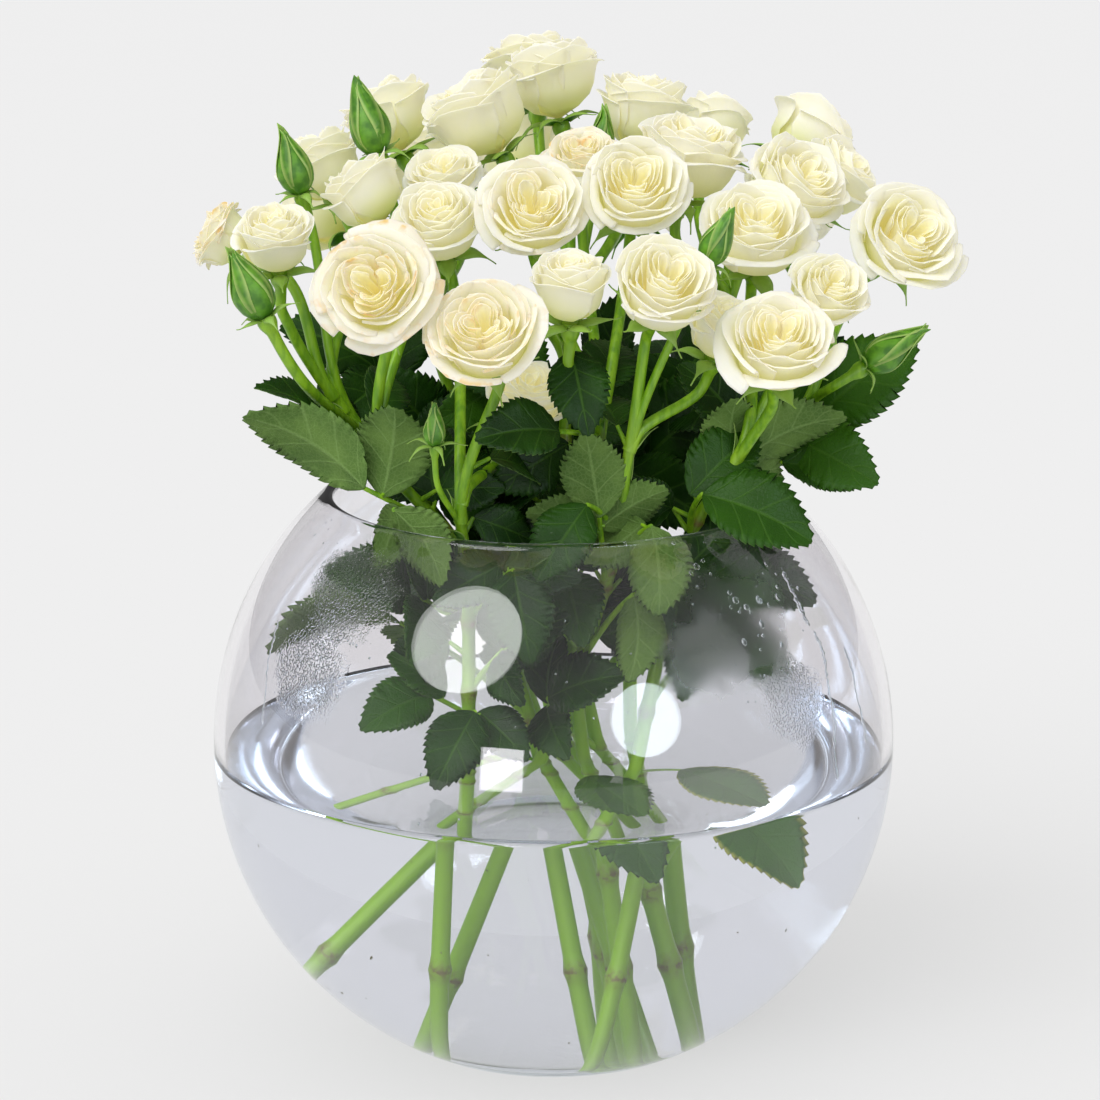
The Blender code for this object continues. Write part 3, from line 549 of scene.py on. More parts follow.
def water_profile(reach=0.12, climb=1.7, width=3.4):
    """From the middle of the surface out to the wall, where it climbs, and down the wall to the floor."""
    top = math.acos((WATER_LEVEL + climb - CENTRE_HEIGHT) / (INNER_RADIUS + reach))
    edge = on_sphere(INNER_RADIUS + reach, top)[0]
    off = np.array([90.0, 60.0, 30.0, 14.0, 10.0, 7.0, 5.0, 3.6, 2.6, 1.8, 1.2, 0.7, 0.3])
    surface = [(0.0, WATER_LEVEL)]
    surface += [(edge - d, WATER_LEVEL + climb * math.exp(-d / (width / 2.4))) for d in off]
    low = math.acos((FLOOR_THICKNESS + FLOOR_CURVE - CENTRE_HEIGHT) / (INNER_RADIUS + reach))
    wall = [on_sphere(INNER_RADIUS + reach, a) for a in np.linspace(top, low, 44)]
    foot = wall[-1][0]
    floor = [(foot - 3.2, 10.5), (foot - 7.5, 8.8), (foot - 13.0, 8.1), (foot - 20.0, 7.9), (0.0, 7.9)]
    return surface + wall + floor


# %% Turning a profile with Geometry Nodes
def turning_tree():
    """A grid of (steps round) by (points of the profile), each row laid on the turned profile."""
    tree = Tree("turned_on_axis", {"Steps round": "Int", "Weld": "Float", "Finish": "Material"})
    profile = tree.given()
    size = tree.node("GeometryNodeAttributeDomainSize", {"Geometry": profile})
    around = tree.maths("ADD", tree.given("Steps round"), 1.0)
    grid = tree.node("GeometryNodeMeshGrid", {"Vertices X": around, "Vertices Y": size})
    index = tree.node("GeometryNodeInputIndex")
    column = tree.maths("FLOOR", tree.maths("DIVIDE", index, size))
    row = tree.maths("MODULO", index, size)
    place = tree.node("GeometryNodeInputPosition")
    settings = {"data_type": "FLOAT_VECTOR", "domain": "POINT"}
    spot = tree.node("GeometryNodeSampleIndex", {0: profile, 1: place, "Index": row}, settings)
    parts = [tree.node("ShaderNodeSeparateXYZ", {0: spot}, {}, k) for k in (0, 2)]
    turn = tree.maths("MULTIPLY", tree.maths("DIVIDE", column, tree.given("Steps round")), -2 * math.pi)
    x = tree.maths("MULTIPLY", parts[0], tree.maths("COSINE", turn))
    y = tree.maths("MULTIPLY", parts[0], tree.maths("SINE", turn))
    to = tree.node("ShaderNodeCombineXYZ", {0: x, 1: y, 2: parts[1]})
    moved = tree.node("GeometryNodeSetPosition", {"Geometry": grid, "Position": to})
    tree.end(tree.node("GeometryNodeMergeByDistance", {"Geometry": moved, "Distance": tree.given("Weld")}))
    return tree


def turned(name, profile, finish):
    points = [(r, 0.0, z) for r, z in profile]
    edges = [(i, i + 1) for i in range(len(points) - 1)]
    made = TURNING.grown(name, points, edges, [], {}, Steps_round=TURN_STEPS, Weld=2e-6, Finish=finish)
    shell = bmesh.new()
    shell.from_mesh(made.data)
    bmesh.ops.recalc_face_normals(shell, faces=shell.faces)
    shell.to_mesh(made.data)
    shell.free()
    open_edges = sum(1 for e in made.data.edges if e.is_loose)
    print(name, len(made.data.polygons), "faces,", open_edges, "loose edges")
    return made


TURNING = turning_tree()

# %% [markdown]
# ## Glass, and the mist inside it
#
# Clear glass is one Principled shader with full transmission, and blown glass is never quite even, so a very
# low wave bends its reflections. Above the water the inner wall has misted over in patches: a fine fog that
# only blurs, which is roughness, and coarser beads that break up what is behind them, which is a bump. The
# misted faces of the wall get a second material, so that the clear glass stays a simple one.


# %% Glass and water finishes
def on_wall(right, up, radius=INNER_RADIUS):
    """The point of the front wall at a share of the radius right of and above the middle of the bowl."""
    out = math.sqrt(1.0 - right * right - up * up)
    turned_out = camera.rotation_euler.to_matrix() @ Vector((right, up, out))
    return np.array([0.0, 0.0, CENTRE_HEIGHT]) + radius * np.array(turned_out)


# Each misted patch: its middle as shares of the radius, its reach in millimetres, and how beaded it is.
MIST = (
    (-0.58, 0.44, 23, 0.6),
    (-0.70, 0.22, 20, 1.0),
    (0.53, 0.36, 29, 0.0),
    (0.42, 0.26, 20, 0.0),
    (0.68, 0.14, 18, 0.5),
)


def glass_finish(name, patches=()):
    """Clear glass, or glass whose inner wall is misted in patches."""
    finish = Finish(name, IOR=1.5, Roughness=0.0)
    finish.set("Transmission Weight", 1.0)
    finish.set("Base Color", (0.90, 0.887, 0.905))
    height = finish.noise(22.0, 0.0) * 0.16
    if patches:
        ragged = finish.noise(110.0, 3.0) * 0.9
        fog, beads = 0.0, 0.0
        for right, up, reach, beaded in patches:
            far = finish.distance(tuple(on_wall(right, up) * MM)) * (1 / (reach * MM))
            near = 1.0 - finish.step(far + ragged, 0.95, 1.45)
            fog = near * (1.0 - beaded) + fog
            beads = near * beaded + beads
        grain = finish.step(finish.noise(1150.0, 1.0), 0.45, 0.64)
        finish.set("Roughness", fog * 0.36 + beads * 0.12)
        height = height + beads * grain * 0.24
    finish.bump(height, 0.001, 1.0)
    return finish.material


def water_finish():
    finish = Finish("still_water", IOR=1.333, Roughness=0.0)
    finish.set("Transmission Weight", 1.0)
    finish.set("Base Color", (0.915, 0.965, 1.0))
    return finish.material


GLASS = glass_finish("clear_glass_wall")
WATER = water_finish()
bowl = settled(turned("bowl_glass", bowl_profile(), GLASS), "clear_glass", "glass_bowl")
water = settled(turned("bowl_water", water_profile(), WATER), "water", "water")
for clear in (bowl, water):
    clear.visible_shadow = False


# %% Where the wall is misted
def misted_faces(mesh):
    """1 for the faces of the inner wall that lie in a misted patch, and 0 for the rest."""
    centres = np.array([face.center for face in mesh.polygons]) / MM
    inner = np.linalg.norm(centres - [0.0, 0.0, CENTRE_HEIGHT], axis=1) < INNER_RADIUS + 1
    near = [np.linalg.norm(centres - on_wall(r, u), axis=1) < 1.25 * reach + 4 for r, u, reach, _ in MIST]
    return (inner & np.any(near, axis=0)).astype(np.int32)


bowl.data.materials.clear()
for finish in (GLASS, glass_finish("misted_glass_wall", MIST)):
    bowl.data.materials.append(finish)
faces = misted_faces(bowl.data)
bowl.data.polygons.foreach_set("material_index", faces)
print(int(faces.sum()), "faces of the bowl are misted")

# %% [markdown]
# ## The layout of the bunch
#
# The tables give every spray, rose, bud and leaf its place, in millimetres, as in the solid model. Leans are
# measured from straight up; a compass of 0 points along +X and 90 along +Y, to the back.

# %% Tables of the bunch
STEM_RADIUS = 2.8
PEDICEL_RADIUS = 2.0
HIP_LENGTH = 9.0
SEPALS = 5
SEPAL_LENGTH = 20.0
SEAT_GAP = 0.35
LEAFLET_WIDTH_SHARE = 0.66
BLADE_ARCH = 0.12
BLADE_FOLD = 0.22

# Each spray: where its cut foot stands, where it passes through the bowl's neck, and where it first forks.
SPRAYS = {
    "spray_a": ((30, 4, 8.4), (-24, 0, 165), (-80, -18, 246)),
    "spray_b": ((14, -14, 8.4), (-20, -26, 165), (-60, -46, 230)),
    "spray_c": ((-33, -14, 8.4), (-30, -44, 165), (-32, -62, 218)),
    "spray_d": ((-41, 4, 8.4), (14, -38, 165), (26, -58, 232)),
    "spray_e": ((10, -34, 8.4), (42, -34, 165), (66, -52, 226)),
    "spray_f": ((-80, 4, 30.0), (44, -8, 165), (98, -22, 250)),
    "spray_g": ((24, -10, 8.4), (6, -26, 165), (16, -44, 236)),
    "spray_h": ((40, 10, 8.4), (6, -8, 165), (6, 4, 272)),
    "spray_i": ((22, 20, 8.4), (-12, 18, 165), (-46, 12, 275)),
    "spray_j": ((34, 26, 8.4), (30, 14, 165), (62, 10, 268)),
    "spray_k": ((14, 38, 8.4), (6, 36, 165), (4, 58, 250)),
}

# Each open rose: spray, middle of its cup, lean from upright, compass, width across the rim, openness.
ROSES = {
    "rose_01": ("spray_b", (-60, -88, 296), 66, -100, 38, 0.9),
    "rose_02": ("spray_c", (-23, -92, 281), 46, -100, 37, 0.8),
    "rose_03": ("spray_g", (6, -73, 294), 12, -85, 27, 0.3),
    "rose_04": ("spray_d", (37, -84, 296), 42, -75, 34, 0.6),
    "rose_05": ("spray_e", (76, -82, 275), 36, -88, 37, 0.9),
    "rose_06": ("spray_c", (-10, -45, 249), 30, -60, 29, 0.4),
    "rose_07": ("spray_c", (-40, -38, 310), 36, -105, 30, 0.4),
    "rose_08": ("spray_g", (-7, -44, 315), 52, -88, 35, 0.8),
    "rose_09": ("spray_g", (28, -36, 322), 48, -88, 36, 0.8),
    "rose_10": ("spray_a", (-97, -40, 305), 20, -100, 27, 0.4),
    "rose_11": ("spray_a", (-118, -15, 301), 62, 180, 24, 0.9),
    "rose_12": ("spray_b", (-67, -20, 318), 34, 165, 29, 0.5),
    "rose_13": ("spray_e", (71, -36, 306), 32, -85, 37, 0.8),
    "rose_14": ("spray_j", (86, -5, 318), 42, -45, 35, 0.7),
    "rose_15": ("spray_f", (103, 25, 316), 48, -10, 30, 0.6),
    "rose_16": ("spray_f", (125, -10, 300), 56, -62, 38, 0.9),
    "rose_17": ("spray_e", (94, -57, 289), 42, -60, 27, 0.5),
    "rose_18": ("spray_d", (58, -55, 276), 24, -60, 24, 0.3),
    "rose_19": ("spray_i", (-27, 16, 341), 30, 175, 38, 0.6),
    "rose_20": ("spray_h", (-1, 46, 350), 14, 150, 35, 0.5),
    "rose_21": ("spray_h", (-7, 84, 348), 20, 100, 37, 0.9),
    "rose_22": ("spray_i", (-60, 34, 338), 24, 150, 32, 0.5),
    "rose_23": ("spray_h", (33, 36, 339), 10, 40, 33, 0.4),
    "rose_24": ("spray_j", (48, -2, 328), 12, -20, 38, 0.7),
    "rose_25": ("spray_j", (60, 62, 330), 30, 60, 26, 0.5),
    "rose_26": ("spray_j", (94, 50, 328), 50, 30, 33, 0.7),
    "rose_27": ("spray_a", (-83, 13, 323), 24, 170, 31, 0.5),
    "rose_28": ("spray_g", (10, -2, 327), 26, -90, 25, 0.8),
    "rose_29": ("spray_i", (-38, -8, 321), 22, -110, 26, 0.7),
    "rose_30": ("spray_k", (-10, 104, 312), 50, 95, 37, 0.8),
    "rose_31": ("spray_k", (30, 96, 300), 62, 75, 36, 0.9),
    "rose_32": ("spray_i", (-46, 74, 310), 48, 125, 35, 0.7),
    "rose_33": ("spray_j", (88, 88, 296), 60, 45, 34, 0.8),
    "rose_34": ("spray_k", (-86, 60, 298), 58, 145, 34, 0.8),
}

# Each closed bud: its spray, the middle of the bud, lean, compass, width.
BUDS = {
    "spray_a": [((-92, -17, 328), 16, -160, 12.5), ((-105, -60, 292), 26, -160, 14.0)],
    "spray_i": [((-66, -1, 341), 16, 175, 14.0)],
    "spray_d": [((56, -70, 310), 24, -20, 10.5)],
    "spray_f": [((119, -36, 265), 58, 5, 12.5)],
    "spray_c": [((-41, -75, 246), 8, -90, 7.5)],
    "spray_h": [((17, 22, 330), 8, -30, 11.0)],
}

# Each leaf: height where it leaves the stem, where its end leaflet starts, that leaflet's tip, how many
# leaflets, and where its upper side faces, as a lean from straight up and a compass.
LEAVES = {
    "spray_a": [
        (214, (-80, -22, 234), (-106, -30, 250), 3, 15, -90),
        (150, (-51, -26, 172), (-80, -46, 186), 3, 50, -90),
    ],
    "spray_b": [
        (202, (-68, -46, 218), (-110, -42, 244), 3, 50, 90),
        (128, (-48, -36, 170), (-97, -36, 162), 3, 35, 90),
        (192, (-56, -56, 212), (-38, -72, 188), 3, 60, 90),
        (104, (-44, -40, 140), (-68, -58, 132), 3, 50, -90),
    ],
    "spray_c": [
        (108, (-28, -48, 136), (-42, -64, 112), 3, 60, -90),
        (170, (-14, -58, 190), (-8, -72, 160), 3, 70, -90),
        (140, (-16, -46, 160), (6, -60, 174), 3, 60, -90),
    ],
    "spray_d": [
        (180, (16, -60, 210), (11, -68, 242), 3, 75, 90),
        (188, (34, -64, 208), (36, -82, 180), 3, 75, 80),
        (200, (16, -68, 216), (1, -80, 190), 1, 60, -90),
        (150, (28, -60, 182), (26, -74, 154), 1, 70, 60),
    ],
    "spray_e": [
        (198, (52, -58, 218), (90, -64, 202), 3, 50, -90),
        (206, (68, -44, 228), (103, -42, 242), 3, 55, 90),
        (156, (50, -44, 188), (80, -54, 176), 3, 60, -80),
        (130, (56, -30, 160), (84, -40, 146), 3, 60, -70),
    ],
    "spray_f": [
        (212, (93, -14, 234), (130, -10, 262), 3, 55, -100),
        (164, (62, 0, 176), (95, -10, 166), 3, 60, -90),
        (205, (78, -30, 222), (104, -34, 212), 3, 40, -90),
    ],
    "spray_g": [
        (232, (2, -70, 243), (-27, -84, 243), 1, 55, -100),
        (250, (6, -64, 270), (12, -78, 243), 1, 70, -90),
        (140, (2, -48, 176), (16, -64, 148), 3, 65, -90),
        (78, (12, -38, 106), (32, -62, 84), 1, 50, -80),
    ],
    "spray_h": [
        (205, (34, 2, 218), (70, 2, 248), 3, 65, -90),
        (112, (-2, -38, 138), (26, -50, 150), 3, 50, -90),
        (70, (46, -22, 98), (76, -42, 76), 1, 50, -60),
        (228, (-24, -12, 250), (-46, -20, 276), 3, 60, -90),
    ],
    "spray_i": [
        (222, (-64, 20, 246), (-100, 24, 262), 3, 40, -100),
        (140, (-56, 22, 160), (-92, 22, 158), 3, 50, -110),
        (236, (-52, 44, 262), (-76, 72, 268), 3, 40, 120),
        (196, (-40, 10, 222), (-66, 0, 250), 3, 65, -90),
        (190, (-14, 4, 220), (-30, -6, 252), 3, 65, -90),
    ],
    "spray_j": [
        (216, (74, 16, 238), (112, 22, 254), 3, 40, -60),
        (232, (74, 40, 256), (96, 70, 262), 3, 40, 60),
        (150, (62, 26, 172), (94, 34, 160), 3, 50, -30),
    ],
    "spray_k": [
        (190, (0, 74, 226), (-4, 112, 220), 3, 40, 90),
        (208, (36, 70, 238), (64, 98, 240), 3, 40, 60),
        (200, (-36, 68, 236), (-64, 96, 238), 3, 40, 120),
        (140, (10, 66, 150), (12, 98, 130), 3, 60, 90),
        (196, (-4, 30, 222), (-16, 26, 256), 3, 65, -90),
    ],
}

# %% [markdown]
# ## The lines of the stems
#
# Each stem runs from its cut foot in the water through the neck of the bowl to its first rose, and the stalks
# of its other roses and buds leave it near the fork. The lines are then bent a little, in a fixed number of
# small steps, away from other roses, the glass and the lines of other sprays.


# %% Directions and curves
def direction(lean, compass):
    a, b = math.radians(lean), math.radians(compass)
    return np.array([math.sin(a) * math.cos(b), math.sin(a) * math.sin(b), math.cos(a)])


def across(axis, hint=(0.0, 0.0, 1.0)):
    """Two unit vectors square to an axis and to each other, the first one level where it can be."""
    hint = np.array(hint) if abs(np.dot(unit(axis), hint)) < 0.98 else np.array([0.0, 1.0, 0.0])
    side = unit(np.cross(axis, hint))
    return side, np.cross(unit(axis), side)


def smooth_path(points, per_span):
    """A Catmull-Rom curve through the points, with per_span steps between two of them."""
    p = [np.array(q, float) for q in points]
    p = [2 * p[0] - p[1], *p, 2 * p[-1] - p[-2]]
    made = []
    for i in range(1, len(p) - 2):
        for s in np.arange(per_span) / per_span:
            straight = 2 * p[i] + (p[i + 1] - p[i - 1]) * s
            square = (2 * p[i - 1] - 5 * p[i] + 4 * p[i + 1] - p[i + 2]) * s**2
            cube = (3 * p[i] - p[i - 1] - 3 * p[i + 1] + p[i + 2]) * s**3
            made.append(0.5 * (straight + square + cube))
    return np.array([*made, p[-2]])


def bend(start, leaving, end, arriving, steps, ease=0.38):
    """A Bezier curve that leaves and arrives along two directions."""
    reach = ease * np.linalg.norm(end - start)
    a, b = start + leaving * reach, end - arriving * reach
    t = np.linspace(0, 1, steps + 1)[:, None]
    return (1 - t) ** 3 * start + 3 * t * (1 - t) ** 2 * a + 3 * t**2 * (1 - t) * b + t**3 * end


# %% Lines of stems and stalks
STEP = 7.0
FORK_SPACING = 9.0
PLAY = 1.6
ROUNDS = 150


class Line:
    """The centreline of a stem, or of a stalk that starts on a stem, with the rose or bud at its end."""

    def __init__(self, spray, points, radius, head, parent=None):
        self.spray, self.radius, self.parent = spray, radius, parent
        self.head, self.end, self.axis, self.width = head
        self.points = evenly(points)
        self.rest = self.points.copy()
        if parent is not None:
            self.at = int(np.argmin(np.linalg.norm(parent.points - self.points[0], axis=1)))


def evenly(points):
    length = np.concatenate([[0], np.cumsum(np.linalg.norm(np.diff(points, axis=0), axis=1))])
    wanted = np.linspace(0, length[-1], max(4, round(length[-1] / STEP)) + 1)
    return np.stack([np.interp(wanted, length, points[:, i]) for i in range(3)], axis=1)


def cup_height(width, openness):
    return width * (0.98 - 0.26 * openness)


def rose_base(centre, axis, width, openness):
    return np.array(centre, float) - axis * (cup_height(width, openness) / 2 + SEAT_GAP)


def heads_of(spray):
    """Roses, then buds, as (the rose's name, the top of its hip, axis, width)."""
    found = []
    for name, (owner, centre, lean, compass, width, openness) in ROSES.items():
        if owner == spray:
            axis = direction(lean, compass)
            found.append((name, rose_base(centre, axis, width, openness), axis, width))
    for centre, lean, compass, width in BUDS.get(spray, []):
        axis = direction(lean, compass)
        found.append((None, np.array(centre, float) - axis * width * 0.8, axis, width))
    return found


def draw_lines():
    lines = []
    for spray, (foot, neck, fork) in SPRAYS.items():
        first, *others = heads_of(spray)
        _, end, axis, _ = first
        hip_foot = end - axis * HIP_LENGTH
        path = smooth_path([foot, neck, fork, hip_foot - axis * 9, hip_foot], 8)
        stem = Line(spray, path, STEM_RADIUS, first)
        lines.append(stem)
        for i, head in enumerate(others):
            _, end, axis, width = head
            at = int(np.argmin(np.abs(stem.points[:, 2] - fork[2] + FORK_SPACING * i)))
            leaving = unit(stem.points[at + 1] - stem.points[at - 1])
            path = bend(stem.points[at], leaving, end - axis * HIP_LENGTH, axis, 16)
            lines.append(Line(spray, path, PEDICEL_RADIUS * min(1.0, width / 14), head, stem))
    return settle(lines)


# %% Bending the lines clear
def settle(lines):
    owner = np.concatenate([[i] * len(line.points) for i, line in enumerate(lines)])
    spray = np.array([list(SPRAYS).index(line.spray) for line in lines])[owner]
    radius = np.array([line.radius for line in lines])[owner]
    names = list(ROSES)
    head = np.array([names.index(line.head) if line.head else -1 for line in lines])[owner]
    centres = np.array([ROSES[n][1] for n in names], float)
    reach = np.array([ROSES[n][4] * 0.53 for n in names])
    foreign = spray[:, None] != spray[None]
    other_rose = head[:, None] != np.arange(len(names))[None]
    for _ in range(ROUNDS):
        points = np.concatenate([line.points for line in lines])
        push = off_the_glass(points, radius)
        push += pushed_apart(points, points, radius[:, None] + radius[None] + PLAY, foreign)
        push += pushed_apart(points, centres, radius[:, None] + reach[None] + PLAY, other_rose)
        for i, line in enumerate(lines):
            shift = line.points + push[owner == i] - line.rest
            shift[0] = 0 if line.parent is None else (line.parent.points - line.parent.rest)[line.at]
            shift[-2:] = 0
            shift[1:-1] = 0.5 * shift[1:-1] + 0.25 * (shift[:-2] + shift[2:])
            line.points = line.rest + shift
    return lines


def pushed_apart(points, others, need, counts):
    square = (points**2).sum(axis=1)[:, None] + (others**2).sum(axis=1)[None] - 2 * points @ others.T
    i, j = np.nonzero(counts & (square < need**2))
    away = points[i] - others[j]
    far = np.linalg.norm(away, axis=1)[:, None] + 1e-6
    push = np.zeros_like(points)
    np.add.at(push, i, 0.5 * away / far * (need[i, j][:, None] - far))
    return push


def off_the_glass(points, radius):
    out = np.hypot(points[:, 0], points[:, 1]) + 1e-6
    height = np.clip(points[:, 2] - CENTRE_HEIGHT, 0, None)
    wall = np.sqrt(np.maximum(1, INNER_RADIUS**2 - height**2)) - radius - PLAY
    inside = points[:, 2] < on_sphere(INNER_RADIUS, math.radians(MOUTH_ANGLE))[1] + 8
    excess = np.where(inside, np.maximum(0, out - wall), 0)
    return np.stack([-points[:, 0] / out * excess, -points[:, 1] / out * excess, 0 * excess], axis=1)


LINES = draw_lines()
STEMS = {line.spray: line for line in LINES if line.parent is None}
CORNERS = {s: np.array([v.co for v in frame["nodes"][s].data.vertices]).reshape(-1, 3) / MM for s in SPRAYS}
print(len(LINES), "lines,", round(sum(len(line.points) for line in LINES) * STEP / 1000, 1), "m")


def on_solid(spray, point, slack=0.05):
    """Whether a spray's solid has a corner at this point."""
    return np.abs(CORNERS[spray] - point).max(axis=1).min() < slack


# %% [markdown]
# ## Stems and stalks
#
# A rose stem is a tube that thins towards the flower, swells at each leaf joint and ends in a rounded hip
# under the bloom. Geometry Nodes sweep a circle along every line, with the radius carried by the points.


# %% Green finishes
def stem_finish():
    finish = Finish("rose_stem", Roughness=0.42)
    along = finish.noise(1.0, 3.0, finish.stretched(420.0, 420.0, 60.0))
    patch = finish.noise(38.0, 2.0)
    _, joint, height, _ = finish.attribute("grown")
    green = finish.mix(finish.step(along, 0.3, 0.7), (0.13, 0.32, 0.004), (0.27, 0.52, 0.014))
    green = finish.mix(finish.step(patch, 0.5, 0.8) * 0.5, green, (0.38, 0.58, 0.04))
    # Painted light: under the water the stems are painted a brighter yellow-green, lifting the darker light
    # there.
    green = finish.mix(0.2 + height * 0.8, (0.42, 0.82, 0.03), green)
    scar = finish.step(finish.noise(500.0, 2.0), 0.45, 0.6)
    finish.set("Base Color", finish.mix(joint * (0.45 + scar * 0.55), green, (0.23, 0.19, 0.04)))
    finish.bump(along, 0.0003, 0.35)
    return finish.material


STEM_GREEN = stem_finish()


# %% Sweeping tubes along the lines
def tube_tree():
    inputs = {"Sides": "Int", "Finish": "Material"}
    tree = Tree("tube_on_line", inputs)
    curve = tree.node("GeometryNodeMeshToCurve", {"Mesh": tree.given()})
    circle = {"Resolution": tree.given("Sides"), "Radius": 1.0}
    ring = tree.node("GeometryNodeCurvePrimitiveCircle", circle)
    values = {"Curve": curve, "Profile Curve": ring, "Scale": tree.named("thickness"), "Fill Caps": True}
    tree.end(tree.node("GeometryNodeCurveToMesh", values))
    return tree


TUBES = tube_tree()
HIP_SHAPE = ((-9.0, 2.0), (-7.6, 2.15), (-6.2, 2.7), (-4.6, 3.35), (-3.0, 3.55), (-1.6, 3.25), (-0.4, 2.75))
JOINT_LENGTH = 2.4
JOINT_SWELL = 0.27
FORK_LENGTH = 5.0
FORK_SWELL = 0.28


def stem_points(line, joints):
    """Points and radii along a line: smooth, thinner upwards, swollen at its joints and hip."""
    path = smooth_path(line.points, 3)[:-1]
    if line.parent is None:
        share = np.clip(path[:, 2] / SPRAYS[line.spray][2][2], 0, 1) ** 2
        radii = STEM_RADIUS - (STEM_RADIUS - PEDICEL_RADIUS) * share
        scale = 1.0
    else:
        scale = line.radius / PEDICEL_RADIUS
        radii = np.full(len(path), line.radius)
        first = np.linalg.norm(path - path[0], axis=1)
        radii = radii * (1 + FORK_SWELL * np.exp(-((first / FORK_LENGTH) ** 2)))
    swell = np.zeros(len(path))
    for joint in joints:
        far = np.linalg.norm(path - joint, axis=1)
        swell = np.maximum(swell, np.exp(-((far / JOINT_LENGTH) ** 2)))
    radii = radii * (1 + JOINT_SWELL * swell)
    hip = [line.end + line.axis * back * (0.6 + 0.4 * scale) for back, _ in HIP_SHAPE[1:]]
    hip_radii = [wide * scale for _, wide in HIP_SHAPE[1:]]
    points = np.concatenate([path, hip])
    return points, np.concatenate([radii, hip_radii]), np.concatenate([swell, np.zeros(len(hip))])


# Where two lower joints, already bare, stand on every stem.
BARE_JOINTS = (48.0, 89.0)


def joints_of(spray):
    """Where leaves left the stem, or still do: every listed leaf, and older scars lower down."""
    stem = STEMS[spray]
    heights = [spec[0] for spec in LEAVES[spray]] + list(BARE_JOINTS)
    return [stem.points[int(np.argmin(np.abs(stem.points[:, 2] - h)))] for h in heights]


def stalk_mesh(spray, stalks):
    """All tubes of a spray as one mesh: its stem, its flower stalks and its leaf stalks."""
    points, edges, thickness, joint = [], [], [], []
    own = [line for line in LINES if line.spray == spray]
    runs = [stem_points(line, joints_of(spray) if line.parent is None else ()) for line in own]
    for path, (first, last) in stalks:
        radii = np.linspace(first, last, len(path))
        runs.append((path, radii, np.zeros(len(path))))
    for path, radii, swell in runs:
        start = sum(len(p) for p in points)
        points.append(path)
        thickness.append(radii * MM)
        joint.append(swell)
        edges += [(start + i, start + i + 1) for i in range(len(path) - 1)]
    points = np.concatenate(points)
    attributes = {"thickness": np.concatenate(thickness), "joint": np.concatenate(joint)}
    made = TUBES.grown(spray + "_stalks", points, edges, [], attributes, Sides=10, Finish=STEM_GREEN)
    co = np.array([v.co for v in made.data.vertices])
    swell = np.zeros(len(co), np.float32)
    made.data.attributes["joint"].data.foreach_get("value", swell)
    colour = made.data.attributes.new("grown", "FLOAT_COLOR", "POINT")
    # 0 under the water and 1 above it; the stem finish paints the stems brighter under the water, as painted
    # light.
    height = smooth(co[:, 2], 0.09, 0.2)
    values = np.stack([0 * swell, swell, height, 1 + 0 * swell], -1)
    colour.data.foreach_set("color", values.astype(np.float32).ravel())
    return made


# %% [markdown]
# ## Drops and runs on the glass
#
# Mist gathers into drops, and drops into runs. A drop is a ball flattened on the wall, a hair sunk into it so
# that no air is left between; Geometry Nodes set one on every point, its short axis towards the middle of the
# bowl and its long one upright. A run is a thin uneven tube of water along the wall. Specks drift in the
# water.

# %% Drops, runs and specks
# Each group of drops: its middle as shares of the radius, its reach, how many, smallest and largest radius.
DROPS = (
    (0.58, 0.40, 17, 34, 0.30, 1.25),
    (0.46, 0.50, 14, 14, 0.25, 0.90),
    (-0.60, 0.42, 17, 90, 0.14, 0.55),
    (-0.70, 0.22, 15, 110, 0.14, 0.50),
    (0.64, 0.15, 13, 80, 0.12, 0.40),
    (-0.66, 0.62, 10, 18, 0.15, 0.45),
    (0.10, 0.10, 60, 24, 0.15, 0.60),
)
RUNS = (
    (((0.655, 0.50), (0.685, 0.44), (0.712, 0.38), (0.728, 0.345)), 0.75),
    (((0.745, 0.33), (0.772, 0.26), (0.782, 0.18), (0.800, 0.08), (0.800, -0.02), (0.812, -0.10)), 0.50),
    (((0.835, 0.28), (0.858, 0.21), (0.872, 0.14), (0.893, 0.06), (0.900, 0.0)), 0.45),
    (((-0.79, 0.36), (-0.815, 0.26), (-0.825, 0.16), (-0.835, 0.06)), 0.30),
)
SPECKS = 46


def drops_tree():
    inputs = {"Middle": "Vector", "Flatness": "Float", "Finish": "Material"}
    tree = Tree("drops_on_wall", inputs)
    points = tree.node("GeometryNodeMeshToPoints", {"Mesh": tree.given()})
    ball = tree.node("GeometryNodeMeshIcoSphere", {"Radius": 1.0, "Subdivisions": 2})
    place = tree.node("GeometryNodeInputPosition")
    away = tree.node("ShaderNodeVectorMath", {0: place, 1: tree.given("Middle")}, {"operation": "SUBTRACT"})
    facing = tree.node("FunctionNodeAlignRotationToVector", {"Vector": away}, {"axis": "Z"})
    values = {"Rotation": facing, "Vector": (0.0, 0.0, 1.0)}
    upright = tree.node("FunctionNodeAlignRotationToVector", values, {"axis": "Y", "pivot_axis": "Z"})
    size, long = tree.named("size"), tree.named("long")
    tall = tree.maths("MULTIPLY", size, long)
    flat = tree.maths("MULTIPLY", size, tree.given("Flatness"))
    scale = tree.node("ShaderNodeCombineXYZ", {0: size, 1: tall, 2: flat})
    values = {"Points": points, "Instance": ball, "Rotation": upright, "Scale": scale}
    tree.end(tree.node("GeometryNodeInstanceOnPoints", values))
    return tree


def drops(name, places, sizes, lengths, flatness, finish):
    attributes = {"size": np.array(sizes) * MM, "long": lengths}
    middle = (0.0, 0.0, CENTRE_HEIGHT * MM)
    return DROPS_TREE.grown(name, places, [], [], attributes, Middle=middle, Flatness=flatness, Finish=finish)


